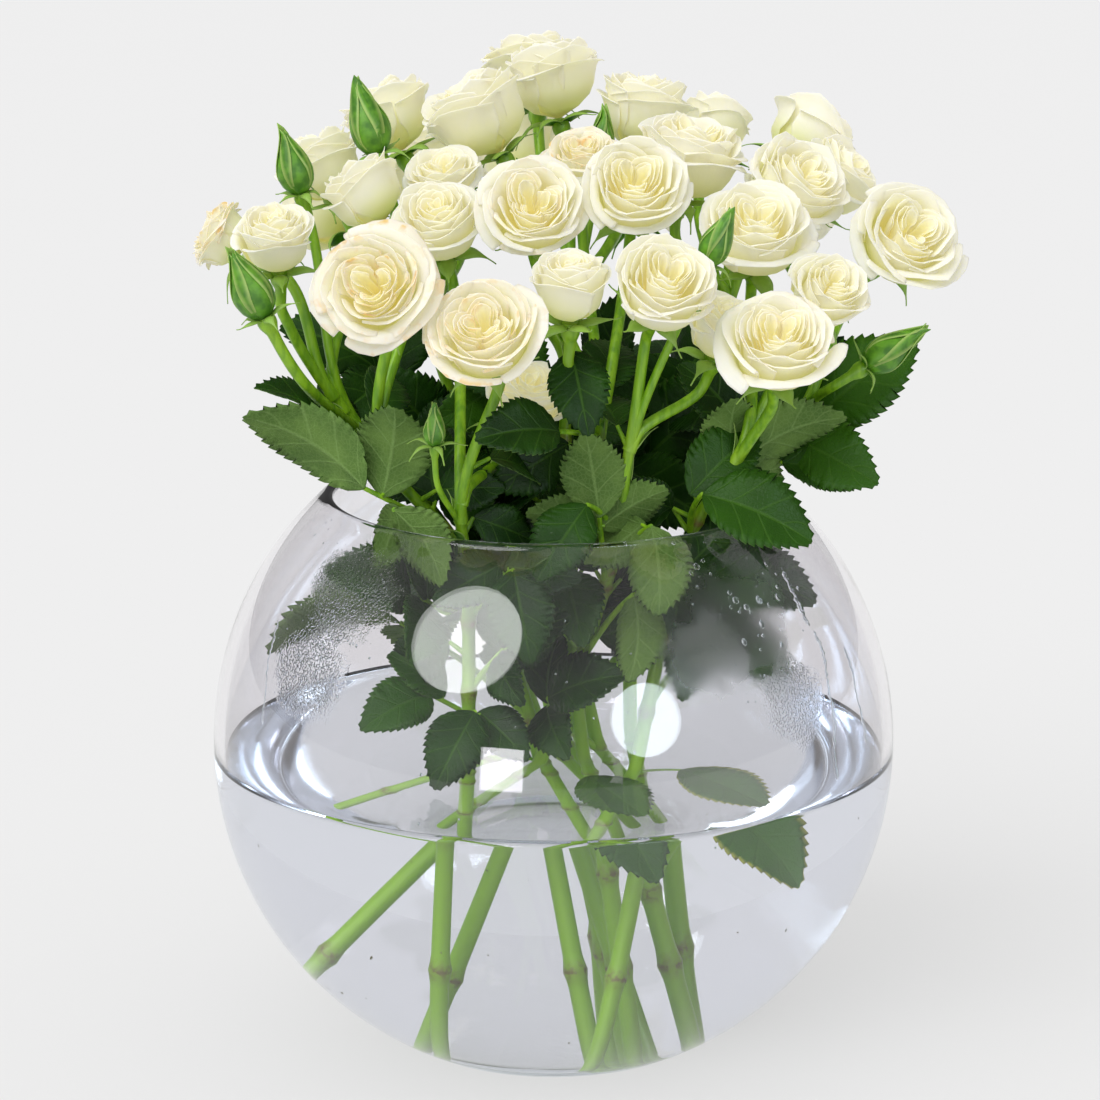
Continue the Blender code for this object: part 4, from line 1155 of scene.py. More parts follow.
def wall_drops():
    draw = random.Random(21)
    places, sizes, lengths = [], [], []
    for right, up, reach, count, small, large in DROPS:
        for _ in range(count):
            off = [draw.gauss(0, reach / 2) / INNER_RADIUS for _ in range(2)]
            size = small * (large / small) ** (draw.random() ** 1.8)
            places.append(on_wall(right + off[0], up + off[1], INNER_RADIUS - 0.1 * size))
            sizes.append(size)
            lengths.append(draw.uniform(0.9, 1.5))
    return drops("bowl_drops", places, sizes, lengths, 0.42, WATER)


def wall_runs():
    draw = random.Random(5)
    points, edges, thickness = [], [], []
    for shares, wide in RUNS:
        path = smooth_path([(r, u, 0.0) for r, u in shares], 10)
        start = len(points)
        for right, up, _ in path:
            points.append(on_wall(right + draw.uniform(-0.0025, 0.0025), up, INNER_RADIUS - 0.1))
            thickness.append(wide * draw.uniform(0.6, 1.25) * MM)
        edges += [(i, i + 1) for i in range(start, len(points) - 1)]
        thickness[start] = thickness[-1] = 0.3 * wide * MM
    attributes = {"thickness": thickness, "joint": [0.0] * len(points)}
    return TUBES.grown("bowl_runs", points, edges, [], attributes, Sides=10, Finish=WATER)


def specks():
    draw = random.Random(13)
    places = []
    while len(places) < SPECKS:
        p = np.array([draw.uniform(-1, 1) * INNER_RADIUS for _ in range(3)])
        wet = 14 - CENTRE_HEIGHT < p[2] < WATER_LEVEL - CENTRE_HEIGHT - 2
        if wet and np.linalg.norm(p) < INNER_RADIUS - 4:
            places.append(p + [0, 0, CENTRE_HEIGHT])
    finish = Finish("pollen_speck", Roughness=0.7)
    finish.set("Base Color", finish.mix(finish.noise(60.0), (0.10, 0.11, 0.03), (0.30, 0.24, 0.08)))
    sizes = [draw.uniform(0.12, 0.38) for _ in places]
    lengths = [draw.uniform(0.7, 2.2) for _ in places]
    return drops("water_specks", places, sizes, lengths, 0.6, finish.material)


DROPS_TREE = drops_tree()
for made, slot in ((wall_drops(), "water"), (wall_runs(), "water"), (specks(), "rose_green")):
    settled(made, slot)
    print(made.name, len(made.data.polygons), "faces")
for name in ("bowl_drops", "bowl_runs"):
    bpy.data.objects[name].visible_shadow = False

# %% [markdown]
# ## Leaves
#
# A rose leaf has an end leaflet and a pair of side leaflets on one stalk. Each leaflet is an oval blade with
# forward-pointing teeth, a little folded along its rib and arched along its length. It is dark and glossy
# above, pale and matt below, so the mesh keeps both sides and tells the shader which one it is on.


# %% Leaf finish
def leaf_finish():
    finish = Finish("rose_leaf", Roughness=0.4)
    along, side, under, tone = finish.attribute("grown")
    out = finish.node("ShaderNodeMath", {0: side * 2.0 - 1.0}, {"operation": "ABSOLUTE"})
    veins = (along - out * 0.30 + out * out * 0.06) * 8.5
    ripple = finish.node("ShaderNodeMath", {0: veins, 1: 1.0}, {"operation": "PINGPONG"})
    vein = 1.0 - finish.step(ripple, 0.0, 0.17)
    rib = 1.0 - finish.step(out, 0.02, 0.075)
    cells = {"Vector": finish.place(), "Scale": 620.0}
    net = finish.node("ShaderNodeTexVoronoi", cells, {"feature": "DISTANCE_TO_EDGE"})
    fine = 1.0 - finish.step(net, 0.0, 0.16)
    lines = finish.node("ShaderNodeMath", {0: vein * 0.8, 1: rib}, {"operation": "MAXIMUM"})
    blotch = finish.noise(70.0, 3.0)
    top = finish.mix(finish.step(blotch, 0.3, 0.7), (0.006, 0.032, 0.002), (0.015, 0.064, 0.003))
    top = finish.mix(finish.step(tone, 0.35, 0.9), top, (0.045, 0.155, 0.006))
    top = finish.mix(lines * 0.35, top, (0.075, 0.19, 0.018))
    below = finish.mix(finish.step(blotch, 0.3, 0.7), (0.080, 0.160, 0.030), (0.135, 0.24, 0.050))
    below = finish.mix(lines * 0.5 + fine * 0.25, below, (0.21, 0.34, 0.10))
    rim = finish.step(out, 0.86, 1.0) * finish.step(tone, 0.8, 0.95)
    colour = finish.mix(under, top, below)
    finish.set("Base Color", finish.mix(rim * 0.8, colour, (0.55, 0.56, 0.09)))
    finish.set("Roughness", 0.42 + under * 0.30 + blotch * 0.08)
    finish.set("Specular IOR Level", 0.2)
    finish.bump(lines * (under * 1.6 - 0.8) + fine * (under - 0.5) * 0.5, 0.0004, 0.6)
    return finish.material


LEAF_GREEN = leaf_finish()


# %% Where a leaf's pieces go
def turned_about(point, centre, swing, lift):
    off = np.array(point, float) - centre
    out = np.hypot(off[0], off[1])
    compass = math.atan2(off[1], off[0]) + math.radians(swing)
    slope = math.atan2(off[2], out) + math.radians(lift)
    reach = np.linalg.norm(off)
    flat = reach * math.cos(slope)
    return centre + np.array([flat * math.cos(compass), flat * math.sin(compass), reach * math.sin(slope)])


SWINGS = sorted(
    [(a, b) for a in range(-28, 29, 7) for b in range(-21, 22, 7)],
    key=lambda ab: (abs(ab[0]) + abs(ab[1]), ab),
)


def leaf_layout(start, base, tip, count, facing, size):
    """The leaf stalk's path, and each leaflet as (root, tip, upper side)."""
    tangent = unit(tip - base)
    level = unit(np.cross(tangent, facing))
    up = np.cross(level, tangent)
    span = np.linalg.norm(base - start)
    leaving = unit(base - start + np.array([0, 0, 0.3]) * span)
    length = np.linalg.norm(tip - base) * size
    arriving = base - tangent * length * 0.24
    middle = bend(start, leaving, arriving, tangent, 2)[1]
    path = [start, middle, base]
    blades = [(base, base + tangent * length, up)]
    for sign in (1, -1)[: count - 1]:
        way = unit(tangent * 0.36 + sign * level * 0.92 + up * 0.12)
        root = base + unit(middle - base) * (0.17 * length + sign)
        blades.append((root, root + way * length * 0.82, up))
    return path, blades


def leaf_on_solid(spray, spec):
    """The leaf as the solid carries it: swung or made smaller where something was in its way."""
    height, base, tip, count, *facing = spec
    facing = direction(*facing)
    stem = STEMS[spray]
    start = stem.points[int(np.argmin(np.abs(stem.points[:, 2] - height)))]
    for size in (1.0, 0.85, 0.7):
        for swing, lift in SWINGS:
            at = [turned_about(p, start, swing, lift) for p in (base, tip)]
            path, blades = leaf_layout(start, *at, count, facing, size)
            if on_solid(spray, blades[0][1]):
                kept = [blade for blade in blades if on_solid(spray, blade[1])]
                return path, kept
    return None, []


def arched(start, middle, end, steps=10):
    """A plain curve from start to end that passes through the middle."""
    t = np.linspace(0, 1, steps + 1)[:, None]
    pull = 2 * middle - (start + end) / 2
    return (1 - t) ** 2 * start + 2 * t * (1 - t) * pull + t**2 * end


# %% A fine leaflet
TEETH = 13
LEAF_THICKNESS = 0.34
ACROSS_LEAF = np.array([-1.0, -0.72, -0.4, -0.12, 0.0, 0.12, 0.4, 0.72, 1.0])


def leaflet_rows():
    """Shares of the length: each tooth has a valley, a tip and a step back between them."""
    rows, bite = [0.0, 0.015], [0.0, 0.0]
    for k in range(TEETH):
        start = 0.03 + 0.94 * (k / TEETH) ** 0.93
        after = 0.03 + 0.94 * ((k + 1) / TEETH) ** 0.93
        rows += [start, start + 0.55 * (after - start), start + 0.84 * (after - start)]
        bite += [-0.055, 0.02, 0.06]
    return np.array([*rows, 0.985, 1.0]), np.array([*bite, 0.0, 0.0])


LEAF_ROWS, LEAF_BITE = leaflet_rows()
LEAF_FACES = shell_faces(len(LEAF_ROWS), len(ACROSS_LEAF))


def leaflet(root, tip, up, draw, tone):
    """A toothed, folded and arched blade: points and colour values of its shell."""
    length = np.linalg.norm(tip - root)
    tangent = (tip - root) / length
    side = unit(np.cross(tangent, up))
    up = np.cross(side, tangent)
    u = LEAF_ROWS[:, None]
    v = ACROSS_LEAF[None] * (1 + (np.abs(ACROSS_LEAF) > 0.99) * LEAF_BITE[:, None])
    half = length * LEAFLET_WIDTH_SHARE / 2 * np.sin(np.pi * np.clip(u, 0.001, 0.999) ** 0.82) ** 0.75
    half = np.maximum(half * 1.02, 0.25)
    depth = draw.uniform(0.02, 0.05)
    wave = depth * np.sin(2 * np.pi * (u * draw.uniform(1.4, 2.4) + draw.random())) * np.sign(v)
    curl = draw.uniform(-0.06, 0.10)
    rise = BLADE_ARCH * length * 4 * u * (1 - u) + BLADE_FOLD * np.abs(v) * half
    rise = rise + half * (wave * v**2 - curl * v**4)
    quilt = 0.012 * length * np.abs(v) * (1 - np.abs(v)) * np.cos(2 * np.pi * 4.25 * (u - 0.3 * np.abs(v)))
    along = u + 0.03 * (np.abs(v) > 0.99) * (LEAF_BITE[:, None] > 0.03)
    grid = root + tangent * length * along[..., None]
    grid = grid + side * (v * half)[..., None] + up * (rise + quilt)[..., None]
    points = shell_of(grid, LEAF_THICKNESS)
    if np.dot(np.cross(grid[2, 5] - grid[2, 4], grid[3, 4] - grid[2, 4]), up) < 0:
        points = shell_of(grid[:, ::-1], LEAF_THICKNESS)
    values = np.zeros((2, *grid.shape[:2], 4))
    values[..., 0] = u
    values[..., 1] = 0.5 + 0.5 * ACROSS_LEAF[None]
    values[1, ..., 2] = 1.0
    values[..., 3] = tone
    return points, values.reshape(-1, 4)


# %% [markdown]
# ## Sepals and closed buds
#
# Five slim green sepals spread from the top of each hip. Under an open rose they curl out or down and end in
# a thin tail; round a bud they stand closed. A bud is a pointed egg of folded petals between them.


# %% Sepal finish and shapes
def sepal_finish():
    finish = Finish("rose_sepal", Roughness=0.5)
    _, side, under, cream = finish.attribute("grown")
    out = finish.node("ShaderNodeMath", {0: side * 2.0 - 1.0}, {"operation": "ABSOLUTE"})
    streak = finish.noise(260.0, 2.0)
    green = finish.mix(finish.step(streak, 0.3, 0.7), (0.045, 0.17, 0.004), (0.12, 0.33, 0.012))
    green = finish.mix(finish.step(out, 0.72, 1.0) * 0.75, green, (0.42, 0.58, 0.16))
    inner = finish.mix(streak, (0.19, 0.36, 0.04), (0.30, 0.48, 0.09))
    green = finish.mix(under, green, inner)
    finish.set("Base Color", finish.mix(cream, green, (0.70, 0.74, 0.38)))
    finish.set("Subsurface Weight", 0.1)
    finish.set("Subsurface Radius", (0.001, 0.0015, 0.0004))
    finish.set("Subsurface Scale", 1.0)
    finish.bump(streak, 0.0003, 0.5)
    return finish.material


SEPAL_GREEN = sepal_finish()
SEPAL_ROWS = np.linspace(0.0, 1.0, 13)
SEPAL_ACROSS = np.array([-1.0, -0.5, 0.0, 0.5, 1.0])
SEPAL_FACES = shell_faces(len(SEPAL_ROWS), len(SEPAL_ACROSS))


def calyx_frame(line, k):
    side, front = across(line.axis)
    turn = 2 * math.pi * (k + 0.5) / SEPALS
    out = math.cos(turn) * side + math.sin(turn) * front
    return out, np.cross(line.axis, out)


def sepal_tip(line, k, curl, size):
    out, _ = calyx_frame(line, k)
    length = SEPAL_LENGTH * size
    return line.end + line.axis * (length * 0.5 * curl - 1.5) + out * (length * (0.95 - 0.15 * abs(curl)))


def sepals_on_solid(draw):
    """For each line, the curl and size of its sepals as the solid carries them."""
    found = []
    for line in LINES:
        for k in range(SEPALS):
            wanted = draw.uniform(-0.8, 0.7)
            size = draw.uniform(0.85, 1.05) * (0.65 if line.head is None else 1.0)
            curls = (wanted, -0.2, -0.7, -1.1, 0.5)
            tries = [(curl, size * shrink) for shrink in (1.0, 0.7) for curl in curls]
            fits = [t for t in tries if on_solid(line.spray, sepal_tip(line, k, *t))]
            if fits:
                found.append((line, k, *fits[0]))
    return found


def strap(path, widths, facing, cup, thickness=0.3):
    """A narrow sheet along a path: widths are half widths, and facing points away from its inner side."""
    tangent = unit(np.gradient(path, axis=0))
    side = unit(np.cross(tangent, facing))
    up = np.cross(side, tangent)
    v = SEPAL_ACROSS[None, :, None]
    half = widths[:, None, None]
    grid = path[:, None] + side[:, None] * v * half - up[:, None] * cup * v**2 * half
    return shell_of(grid, thickness)


def strap_values():
    """Colour values of a strap: share along, share across and side of the sheet."""
    values = np.zeros((2, len(SEPAL_ROWS), len(SEPAL_ACROSS), 4))
    values[..., 0] = SEPAL_ROWS[:, None]
    values[..., 1] = 0.5 + 0.5 * SEPAL_ACROSS[None]
    values[1, ..., 2] = 1.0
    return values.reshape(-1, 4)


def sepal(line, k, curl, size):
    out, _ = calyx_frame(line, k)
    scale = line.radius / PEDICEL_RADIUS if line.parent else 1.0
    root = line.end - line.axis * 1.3 + out * 2.5 * scale
    tip = sepal_tip(line, k, curl, size)
    leaving = unit(out * 0.75 + line.axis * (0.55 + 0.3 * curl))
    arriving = unit(out * (0.55 - 0.3 * abs(curl)) + line.axis * (1.2 * curl - 0.1))
    path = bend(root, leaving, tip, arriving, len(SEPAL_ROWS) - 1, 0.45)
    t = SEPAL_ROWS
    widths = 3.1 * size * scale * np.sin(np.pi * np.clip(t + 0.14, 0, 1) ** 0.72) ** 0.9 + 0.16
    widths = np.where(t > 0.6, np.maximum(0.14, widths * (1 - 0.6 * smooth(t, 0.6, 0.9))), widths)
    path = path + (out * 0.5 - line.axis * 0.3) * (np.sin(np.pi * t * 2.5) * t * 1.6 * size)[:, None]
    return strap(path, widths, -line.axis, -0.35)


# %% Buds
EGG = (
    (0.0, 0.30), (0.07, 0.62), (0.16, 0.86), (0.28, 0.99), (0.40, 1.0),
    (0.53, 0.86), (0.66, 0.64), (0.80, 0.38), (0.91, 0.19), (1.0, 0.05),
)
EGG_SIDES = 20


def egg(base, axis, width, length):
    """A pointed egg with the shallow swirl of folded petals."""
    side, front = across(axis)
    turn = 2 * np.pi * np.arange(EGG_SIDES) / EGG_SIDES
    points, rows = [], len(EGG)
    for t, wide in EGG:
        radius = width / 2 * wide * (0.93 + 0.05 * np.cos(3 * turn + 5 * t))
        circle = np.cos(turn)[:, None] * side + np.sin(turn)[:, None] * front
        points.append(base + axis * length * t + radius[:, None] * circle)
    k = np.arange(EGG_SIDES)
    n = (k + 1) % EGG_SIDES
    faces = []
    for i in range(rows - 1):
        a = i * EGG_SIDES
        faces += np.stack([a + k, a + n, a + n + EGG_SIDES, a + k + EGG_SIDES], -1).tolist()
    faces += [k[::-1].tolist(), (k + (rows - 1) * EGG_SIDES).tolist()]
    return np.concatenate(points), faces


def add_bud(gathered, line, draw):
    width, length = line.width, 1.9 * line.width
    base = line.end - line.axis * 1.5
    points, faces = egg(base, line.axis, width * 0.9, length * 0.93)
    height = (points - base) @ line.axis / length
    values = np.stack([height, 0 * height + 0.5, 0 * height, smooth(height, 0.25, 0.6) * 0.9], -1)
    start = gathered.count
    gathered.points.append(points)
    gathered.values.append(values)
    gathered.faces += [[start + i for i in face] for face in faces]
    gathered.count += len(points)
    side, front = across(line.axis)
    shares = np.array([t for t, _ in EGG])
    wide = np.array([w for _, w in EGG])
    for k in range(SEPALS):
        turn = 2 * math.pi * (k + 0.5) / SEPALS + draw.uniform(-0.1, 0.1)
        out = math.cos(turn) * side + math.sin(turn) * front
        reach = draw.uniform(0.98, 1.16)
        t = SEPAL_ROWS * reach
        radius = width / 2 * (np.interp(t, shares, wide) + 0.045)
        radius = radius + width * 0.10 * smooth(t, 0.85, 1.2)
        path = base + line.axis * (length * t)[:, None] + out * radius[:, None]
        widths = width * 0.40 * np.sin(np.pi * np.clip(0.2 + 0.8 * SEPAL_ROWS, 0, 1) ** 1.15) ** 0.9 + 0.15
        gathered.add(strap(path, widths, out, 0.42, 0.35), SEPAL_FACES, strap_values())


# %% [markdown]
# ## The sprays
#
# Each spray gets three pieces: its stalks, its leaves, and its sepals with the closed buds. All three stand
# for the same solid.

# %% Small leaves deep in the bunch, and bracts
# Single leaflets grow on every stem between these heights, and their tips keep between the others. They stay
# within these distances of the bowl's axis below and above its neck, and this far from the middle of a rose.
INNER_LEAVES = 6
LEAVING_HEIGHTS = (150, 262)
TIP_HEIGHTS = (122, 290)
NECK_HEIGHT = 214
REACH_BELOW, REACH_ABOVE = 64, 76
ROSE_CLEARANCE = 27
TRIES = 120

# Leaflets that close the view between the stems, each as its root and its tip.
SCREEN_LEAVES = (
    ((-27, 24, 150), (-31, 20, 196)),
    ((-33, 30, 158), (-66, 22, 180)),
    ((-12, 30, 160), (-8, 26, 203)),
    ((22, 30, 236), (30, 22, 276)),
    ((-20, 34, 238), (-34, 28, 276)),
    ((48, 30, 232), (66, 26, 268)),
)


def inner_leaves(spray, draw):
    """Single dark leaflets between the stalks: (the stalk's two ends, root, tip, upper side)."""
    made = []
    stem = STEMS[spray].points
    heights = stem[:, 2]
    for _ in range(TRIES):
        start = stem[int(np.argmin(np.abs(heights - draw.uniform(*LEAVING_HEIGHTS))))]
        compass = draw.uniform(0, 360)
        root = start + direction(draw.uniform(30, 80), compass) * draw.uniform(7, 15)
        tip = root + direction(draw.uniform(45, 125), compass + draw.uniform(-35, 35)) * draw.uniform(24, 38)
        reaches = [REACH_BELOW if p[2] < NECK_HEIGHT else REACH_ABOVE for p in (root, tip)]
        inside = all(np.hypot(p[0], p[1]) < reach for p, reach in zip((root, tip), reaches))
        behind = tip[1] > -52 + 0.5 * max(0, tip[2] - 215)
        clear = min(np.linalg.norm(tip - spec[1]) for spec in ROSES.values()) > ROSE_CLEARANCE
        if inside and behind and clear and TIP_HEIGHTS[0] < tip[2] < TIP_HEIGHTS[1]:
            made.append((start, root, tip, direction(draw.uniform(25, 85), -90 + draw.uniform(-50, 50))))
        if len(made) == INNER_LEAVES:
            break
    for root, tip in np.array(SCREEN_LEAVES, float):
        owner = min(STEMS, key=lambda name: np.linalg.norm(STEMS[name].points - root, axis=1).min())
        if owner == spray:
            start = stem[int(np.argmin(np.linalg.norm(stem - root - (0, 0, 12), axis=1)))]
            made.append((start, root, tip, direction(20, -90)))
    return made


def bract(line, draw):
    """A slim scale leaf where a flower stalk leaves its stem."""
    path = smooth_path(line.points[:4], 4)
    way = unit(path[4] - path[0])
    out = unit(np.cross(way, [draw.uniform(-1, 1), draw.uniform(-1, 1), 0.3]))
    t = SEPAL_ROWS
    reach = draw.uniform(9, 15)
    spine = path[0] + way * (reach * t)[:, None] + out * (1.8 + reach * (0.15 * t + 0.35 * t**2.5))[:, None]
    widths = draw.uniform(1.4, 2.1) * np.sin(np.pi * np.clip(t + 0.2, 0, 1) ** 0.8) + 0.12
    return strap(spine, widths, out, 0.4)


# %% Growing the sprays
SEPAL_PLACES = sepals_on_solid(random.Random(7))
AGED_LEAF = ("spray_h", 70)
found_leaves = 0
for spray in SPRAYS:
    draw = random.Random(spray)
    leaves, stalks = Gathered(), []
    for spec in LEAVES[spray]:
        path, blades = leaf_on_solid(spray, spec)
        if path is None:
            continue
        found_leaves += 1
        fine_path = arched(path[0], 0.2 * path[1] + 0.4 * (path[0] + path[2]), path[2])
        stalks.append((fine_path, (1.35, 0.85)))
        tone = 0.9 if (spray, spec[0]) == AGED_LEAF else draw.uniform(0.1, 0.7)
        for root, tip, up in blades:
            if not np.allclose(root, path[-1]):
                near = fine_path[int(np.argmin(np.linalg.norm(fine_path - root, axis=1)))]
                stalks.append((np.array([near, root + unit(tip - root) * 1.5]), (0.8, 0.6)))
            points, values = leaflet(root, tip, up, draw, tone + draw.uniform(-0.05, 0.05))
            leaves.add(points, LEAF_FACES, values)
    for start, root, tip, up in inner_leaves(spray, draw):
        stalks.append((np.array([start, (start + root) / 2, root]), (1.1, 0.7)))
        points, values = leaflet(root, tip, up, draw, draw.uniform(0.0, 0.4))
        leaves.add(points, LEAF_FACES, values)
    settled(stalk_mesh(spray, stalks), "rose_green", spray)
    if leaves.count:
        settled(leaves.as_object(spray + "_leaves", LEAF_GREEN), "rose_green", spray)
    calyx = Gathered()
    for line, k, curl, size in SEPAL_PLACES:
        if line.spray == spray:
            calyx.add(sepal(line, k, curl, size), SEPAL_FACES, strap_values())
    for line in LINES:
        if line.spray == spray and line.head is None:
            add_bud(calyx, line, draw)
        if line.spray == spray and line.parent is not None:
            calyx.add(bract(line, draw), SEPAL_FACES, strap_values())
    settled(calyx.as_object(spray + "_calyx", SEPAL_GREEN), "rose_green", spray)
print(found_leaves, "leaves of", sum(map(len, LEAVES.values())), "and", len(SEPAL_PLACES), "sepals")

# %% [markdown]
# ## The roses
#
# A rose is rings of petals on one cup. Each petal rises steeply from the hip, stands along the cup and rolls
# outwards at its lip, and its two sides roll more than its middle, which gives the soft point of a rose
# petal. Outer petals roll far. The heart stays wound in a young rose and is folded in three lobes in an open
# one. One formula makes them all, and a seeded draw varies them. Petals scatter light below their skin, and a
# faint warm emission of their own stands in for the light that comes through many petals at once.


# %% Petal finish
PETAL_GLOW = 0.12


def petal_finish():
    finish = Finish("cream_petal_skin", Roughness=0.55)
    along, rim, heart, brown = finish.attribute("grown")
    cloud = finish.noise(55.0, 3.0)
    fine = finish.noise(1.0, 2.0, finish.stretched(900.0, 900.0, 260.0))
    body = finish.mix(finish.step(cloud, 0.3, 0.75), (0.77, 0.76, 0.575), (0.78, 0.768, 0.67))
    # Partly the rose's own tint and partly painted light: petal feet go yellow-green and inner petals warm
    # yellow, stronger than the rose's own tint, as a painted glow in the creases.
    petal_foot_tint_and_glow = finish.mix(finish.step(heart, 0.1, 0.6), (0.70, 0.75, 0.30), (0.88, 0.79, 0.30))
    base = finish.mix(finish.step(along, 0.05, 0.85), petal_foot_tint_and_glow, body)
    heart_tint_and_glow = finish.mix(finish.step(heart, 0.2, 0.9) * 0.75, base, (0.85, 0.805, 0.42))
    # Painted highlight: the rims of the petals are painted lighter.
    pale = finish.mix(rim * 0.6, heart_tint_and_glow, (0.80, 0.79, 0.70))
    spot = finish.step(finish.noise(200.0, 2.0), 0.50, 0.64)
    worn = brown * finish.step(rim, 0.15, 0.8) * (0.25 + spot * 0.75)
    finish.set("Base Color", finish.mix(worn, pale, (0.70, 0.38, 0.06)))
    finish.set("Subsurface Weight", 0.4)
    finish.set("Subsurface Radius", (0.0050, 0.0045, 0.0018))
    finish.set("Subsurface Scale", 1.0)
    # Painted light: the petals glow faintly, yellower towards their feet, lifting the shade in the creases.
    finish.set("Emission Color", finish.mix(along, (1.0, 0.82, 0.28), (1.0, 0.96, 0.74)))
    finish.set("Emission Strength", PETAL_GLOW)
    finish.set("Specular IOR Level", 0.25)
    finish.bump(fine, 0.00012, 0.5)
    return finish.material


PETAL_SKIN = petal_finish()

# %% Rings of petals
PETAL_UP = np.array([0.0, 0.18, 0.36, 0.52, 0.66, 0.77, 0.86, 0.93, 0.975, 1.0])[:, None]
PETAL_ACROSS = np.sin(np.linspace(-np.pi / 2, np.pi / 2, 11))[None]
PETAL_FACES = shell_faces(PETAL_UP.size, PETAL_ACROSS.size)
PETAL_THICKNESS = 0.34

# Each ring of petals from the outside in: petals, radius of its cup and of its lip and height of its lip, as
# shares of the rose's, how far the lip rolls down when open, half the angle a petal spans, and its lap.
RINGS = (
    (3, 0.82, 1.16, 0.85, 0.24, 1.15, 0.04),
    (4, 0.76, 1.02, 0.95, 0.18, 1.02, 0.06),
    (5, 0.69, 0.86, 0.99, 0.13, 0.88, 0.08),
    (5, 0.60, 0.73, 1.00, 0.10, 0.86, 0.11),
)
WOUND = (
    (4, 0.51, 0.63, 1.01, 0.08, 1.05, 0.16),
    (4, 0.41, 0.53, 1.01, 0.07, 1.10, 0.20),
    (3, 0.31, 0.42, 1.00, 0.06, 1.35, 0.24),
    (3, 0.21, 0.31, 0.99, 0.05, 1.40, 0.28),
    (2, 0.10, 0.17, 0.98, 0.02, 1.90, 0.30),
)

# In a rose opened this far, the heart isn't wound: it is folded in lobes, each with these petals.
LOBED_FROM = 0.48
LOBES = 3
LOBE = (
    (0.33, 0.42, 1.00, 0.08, 1.35),
    (0.27, 0.35, 1.02, 0.07, 1.50),
    (0.21, 0.28, 1.01, 0.06, 1.65),
    (0.15, 0.21, 1.00, 0.05, 1.80),
    (0.09, 0.14, 0.98, 0.03, 2.10),
)

print("petals in a wound rose:", sum(ring[0] for ring in RINGS + WOUND))


# %% One petal
def petal(cup, lip, height, drop, spread, lap, fold, draw):
    """A petal round the Z axis, its middle towards +X: radius, angle and height over its grid."""
    s = PETAL_ACROSS + 0 * PETAL_UP
    point = 0.03 * np.exp(-((s / 0.18) ** 2)) * draw.uniform(0.0, 1.4)
    t = PETAL_UP * (0.975 - draw.uniform(0.09, 0.15) * np.abs(s) ** 2.8 + point)
    sides = np.abs(s) ** 2
    full = np.sin(np.pi / 2 * np.clip(t / 0.5, 0, 1)) ** 0.8
    free = np.clip((t - 0.50 + 0.12 * sides) / (0.50 + 0.12 * sides), 0, 1)
    curl = smooth(PETAL_UP + 0 * s, 0.86, 1.0)
    out = 1.0 + (cup - 1.0) * full + (lip - cup) * free**1.6 * (0.85 + 0.35 * sides)
    up = height * (0.30 * t + 0.70 * t**1.25)
    up = up - height * drop * np.clip((t - 0.66) / 0.34, 0, 1) ** 1.7 * (0.7 + 0.9 * sides)
    first, second = draw.uniform(0, 2 * math.pi), draw.uniform(0, 2 * math.pi)
    ripple = np.sin(s * draw.uniform(2.0, 3.6) + first) + 0.45 * np.sin(s * draw.uniform(4.5, 7.0) + second)
    out = out * (1 + lap * s) + fold * ripple * free + 0.35 * curl
    up = up + 0.9 * fold * np.cos(s * draw.uniform(2.5, 4.5) + second) * free - 0.45 * curl
    turn = s * spread * (0.50 + 0.50 * smooth(t, 0.0, 0.5)) * (1 - 0.10 * smooth(t, 0.8, 1.0))
    turn = turn + draw.uniform(-0.10, 0.10) * t
    return np.maximum(out, 0.15), turn, up


def petal_plan(openness, draw):
    """Every petal as (radii, height, drop, half angle, lap, compass, centre, depth), from the outside in."""
    plan = []
    start = draw.uniform(0, 2 * math.pi)
    wound = RINGS + (WOUND if openness < LOBED_FROM else ())
    for ring, (count, cup, lip, tall, drop, spread, lap) in enumerate(wound):
        for k in range(count):
            compass = start + 2 * math.pi * (k + draw.uniform(-0.12, 0.12)) / count
            plan.append((cup, lip, tall, drop, spread, lap, compass, (0.0, 0.0), ring / 8))
        start += math.pi / count * 1.15
    if openness >= LOBED_FROM:
        for j in range(LOBES):
            way = start + 2 * math.pi * (j + draw.uniform(-0.12, 0.12)) / LOBES
            far, high = draw.uniform(0.16, 0.22), draw.uniform(0.97, 1.02)
            for i, (cup, lip, tall, drop, spread) in enumerate(LOBE):
                centre = (far * math.cos(way), far * math.sin(way))
                compass = way + draw.uniform(-0.25, 0.25)
                wide = draw.uniform(0.93, 1.07)
                shape = (cup * wide, lip * wide, tall * high, drop, spread, 0.10)
                plan.append((*shape, compass, centre, 0.55 + 0.1 * i))
    return plan


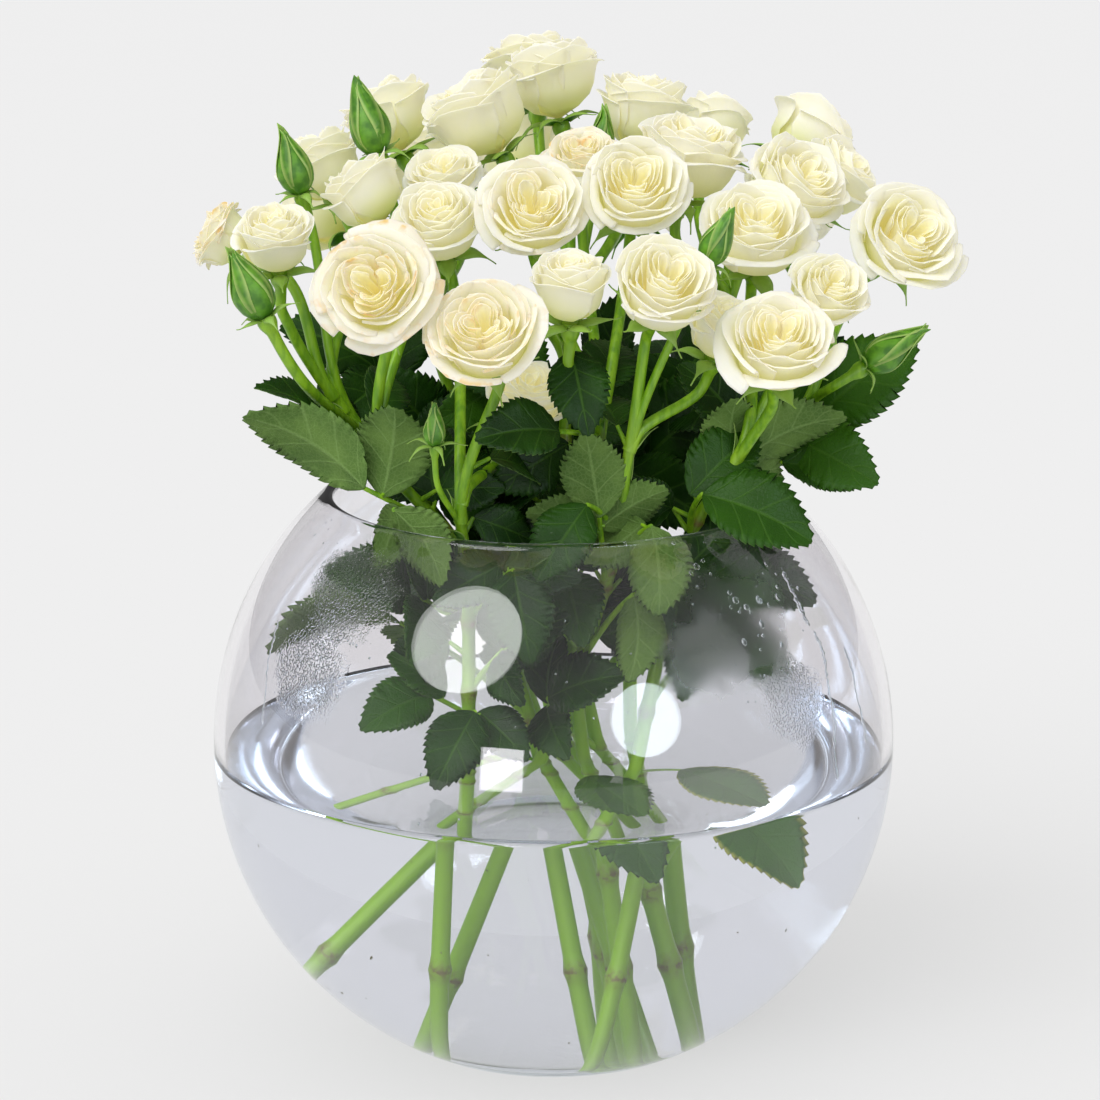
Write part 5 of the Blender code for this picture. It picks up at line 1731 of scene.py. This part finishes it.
def rose(name):
    """All petals of one rose as one mesh."""
    _, centre, lean, compass, width, openness = ROSES[name]
    axis = direction(lean, compass)
    side, front = across(axis)
    height = cup_height(width, openness)
    base = np.array(centre, float) - axis * height / 2
    draw = random.Random(name)
    brown = BROWNED.get(name, FRESH)
    gathered = Gathered()
    tilt = np.array([draw.uniform(-1, 1), draw.uniform(-1, 1)]) * 0.05
    for cup, lip, tall, drop, spread, lap, compass, centre, depth in petal_plan(openness, draw):
        lip = cup + (lip - cup) * (0.45 + 0.70 * openness)
        outer = depth < 0.2
        reach = width / 2 * draw.uniform(0.96, 1.03)
        rise = height * (tall - 0.06 * openness * (depth == 0)) * draw.uniform(0.955, 1.02)
        fold = width * draw.uniform(0.014, 0.036) * (1 - 0.35 * depth)
        flung = draw.uniform(0.94, 1.05) + 0.10 * openness * outer * (draw.random() < 0.35)
        fall = drop * (0.40 + 0.80 * openness) * draw.uniform(0.5, 1.6)
        shape = (reach * cup, reach * lip * flung, rise, fall)
        out, turn, up = petal(*shape, spread * draw.uniform(0.92, 1.10), lap, fold, draw)
        turn = turn + compass
        shift = tilt * (up / height)[..., None] * width * (1 - depth)
        grown = smooth(up / height, 0.15, 0.7) * reach
        x = np.cos(turn) * out + shift[..., 0] + centre[0] * grown
        y = np.sin(turn) * out + shift[..., 1] + centre[1] * grown
        grid = base + axis * up[..., None] + x[..., None] * side + y[..., None] * front
        rim = np.maximum(PETAL_UP**8, np.abs(PETAL_ACROSS) ** 10 * smooth(PETAL_UP, 0.2, 0.6))
        points = shell_of(grid, PETAL_THICKNESS * (1 - 0.6 * rim[..., None]))
        values = np.zeros((2, *rim.shape, 4))
        values[..., 0] = PETAL_UP
        values[..., 1] = rim
        values[..., 2] = depth
        values[..., 3] = brown * draw.uniform(0.2, 1.0)
        gathered.add(points, PETAL_FACES, values.reshape(-1, 4))
    return gathered.as_object(name.replace("rose", "bloom"), PETAL_SKIN)


# %% Every rose
# How far the petal edges of some roses have browned; the others have hardly begun to.
BROWNED = {"rose_01": 0.95, "rose_02": 0.8, "rose_11": 1.0, "rose_28": 0.9, "rose_05": 0.3, "rose_08": 0.35}
FRESH = 0.10
triangles = 0
for name in ROSES:
    bloom = settled(rose(name), "cream_petal", name)
    triangles += 2 * len(bloom.data.polygons)
print(len(ROSES), "roses,", triangles, "triangles")

# %% [markdown]
# ## Sizes at the end
#
# The dressed object has to keep the size of its solids, so how far each side of its box moved from theirs is
# printed.

# %% Sizes and the finish
lowest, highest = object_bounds()
sides = zip([*cad_box[0], *cad_box[1]], [*lowest, *highest], strict=True)
grown = [round(1000 * (b - a), 1) for a, b in sides]
print("moved by (mm):", grown)
meshes = [piece.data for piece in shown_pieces() if piece.type == "MESH"]
print("triangles in all:", sum(len(face.vertices) - 2 for mesh in meshes for face in mesh.polygons))
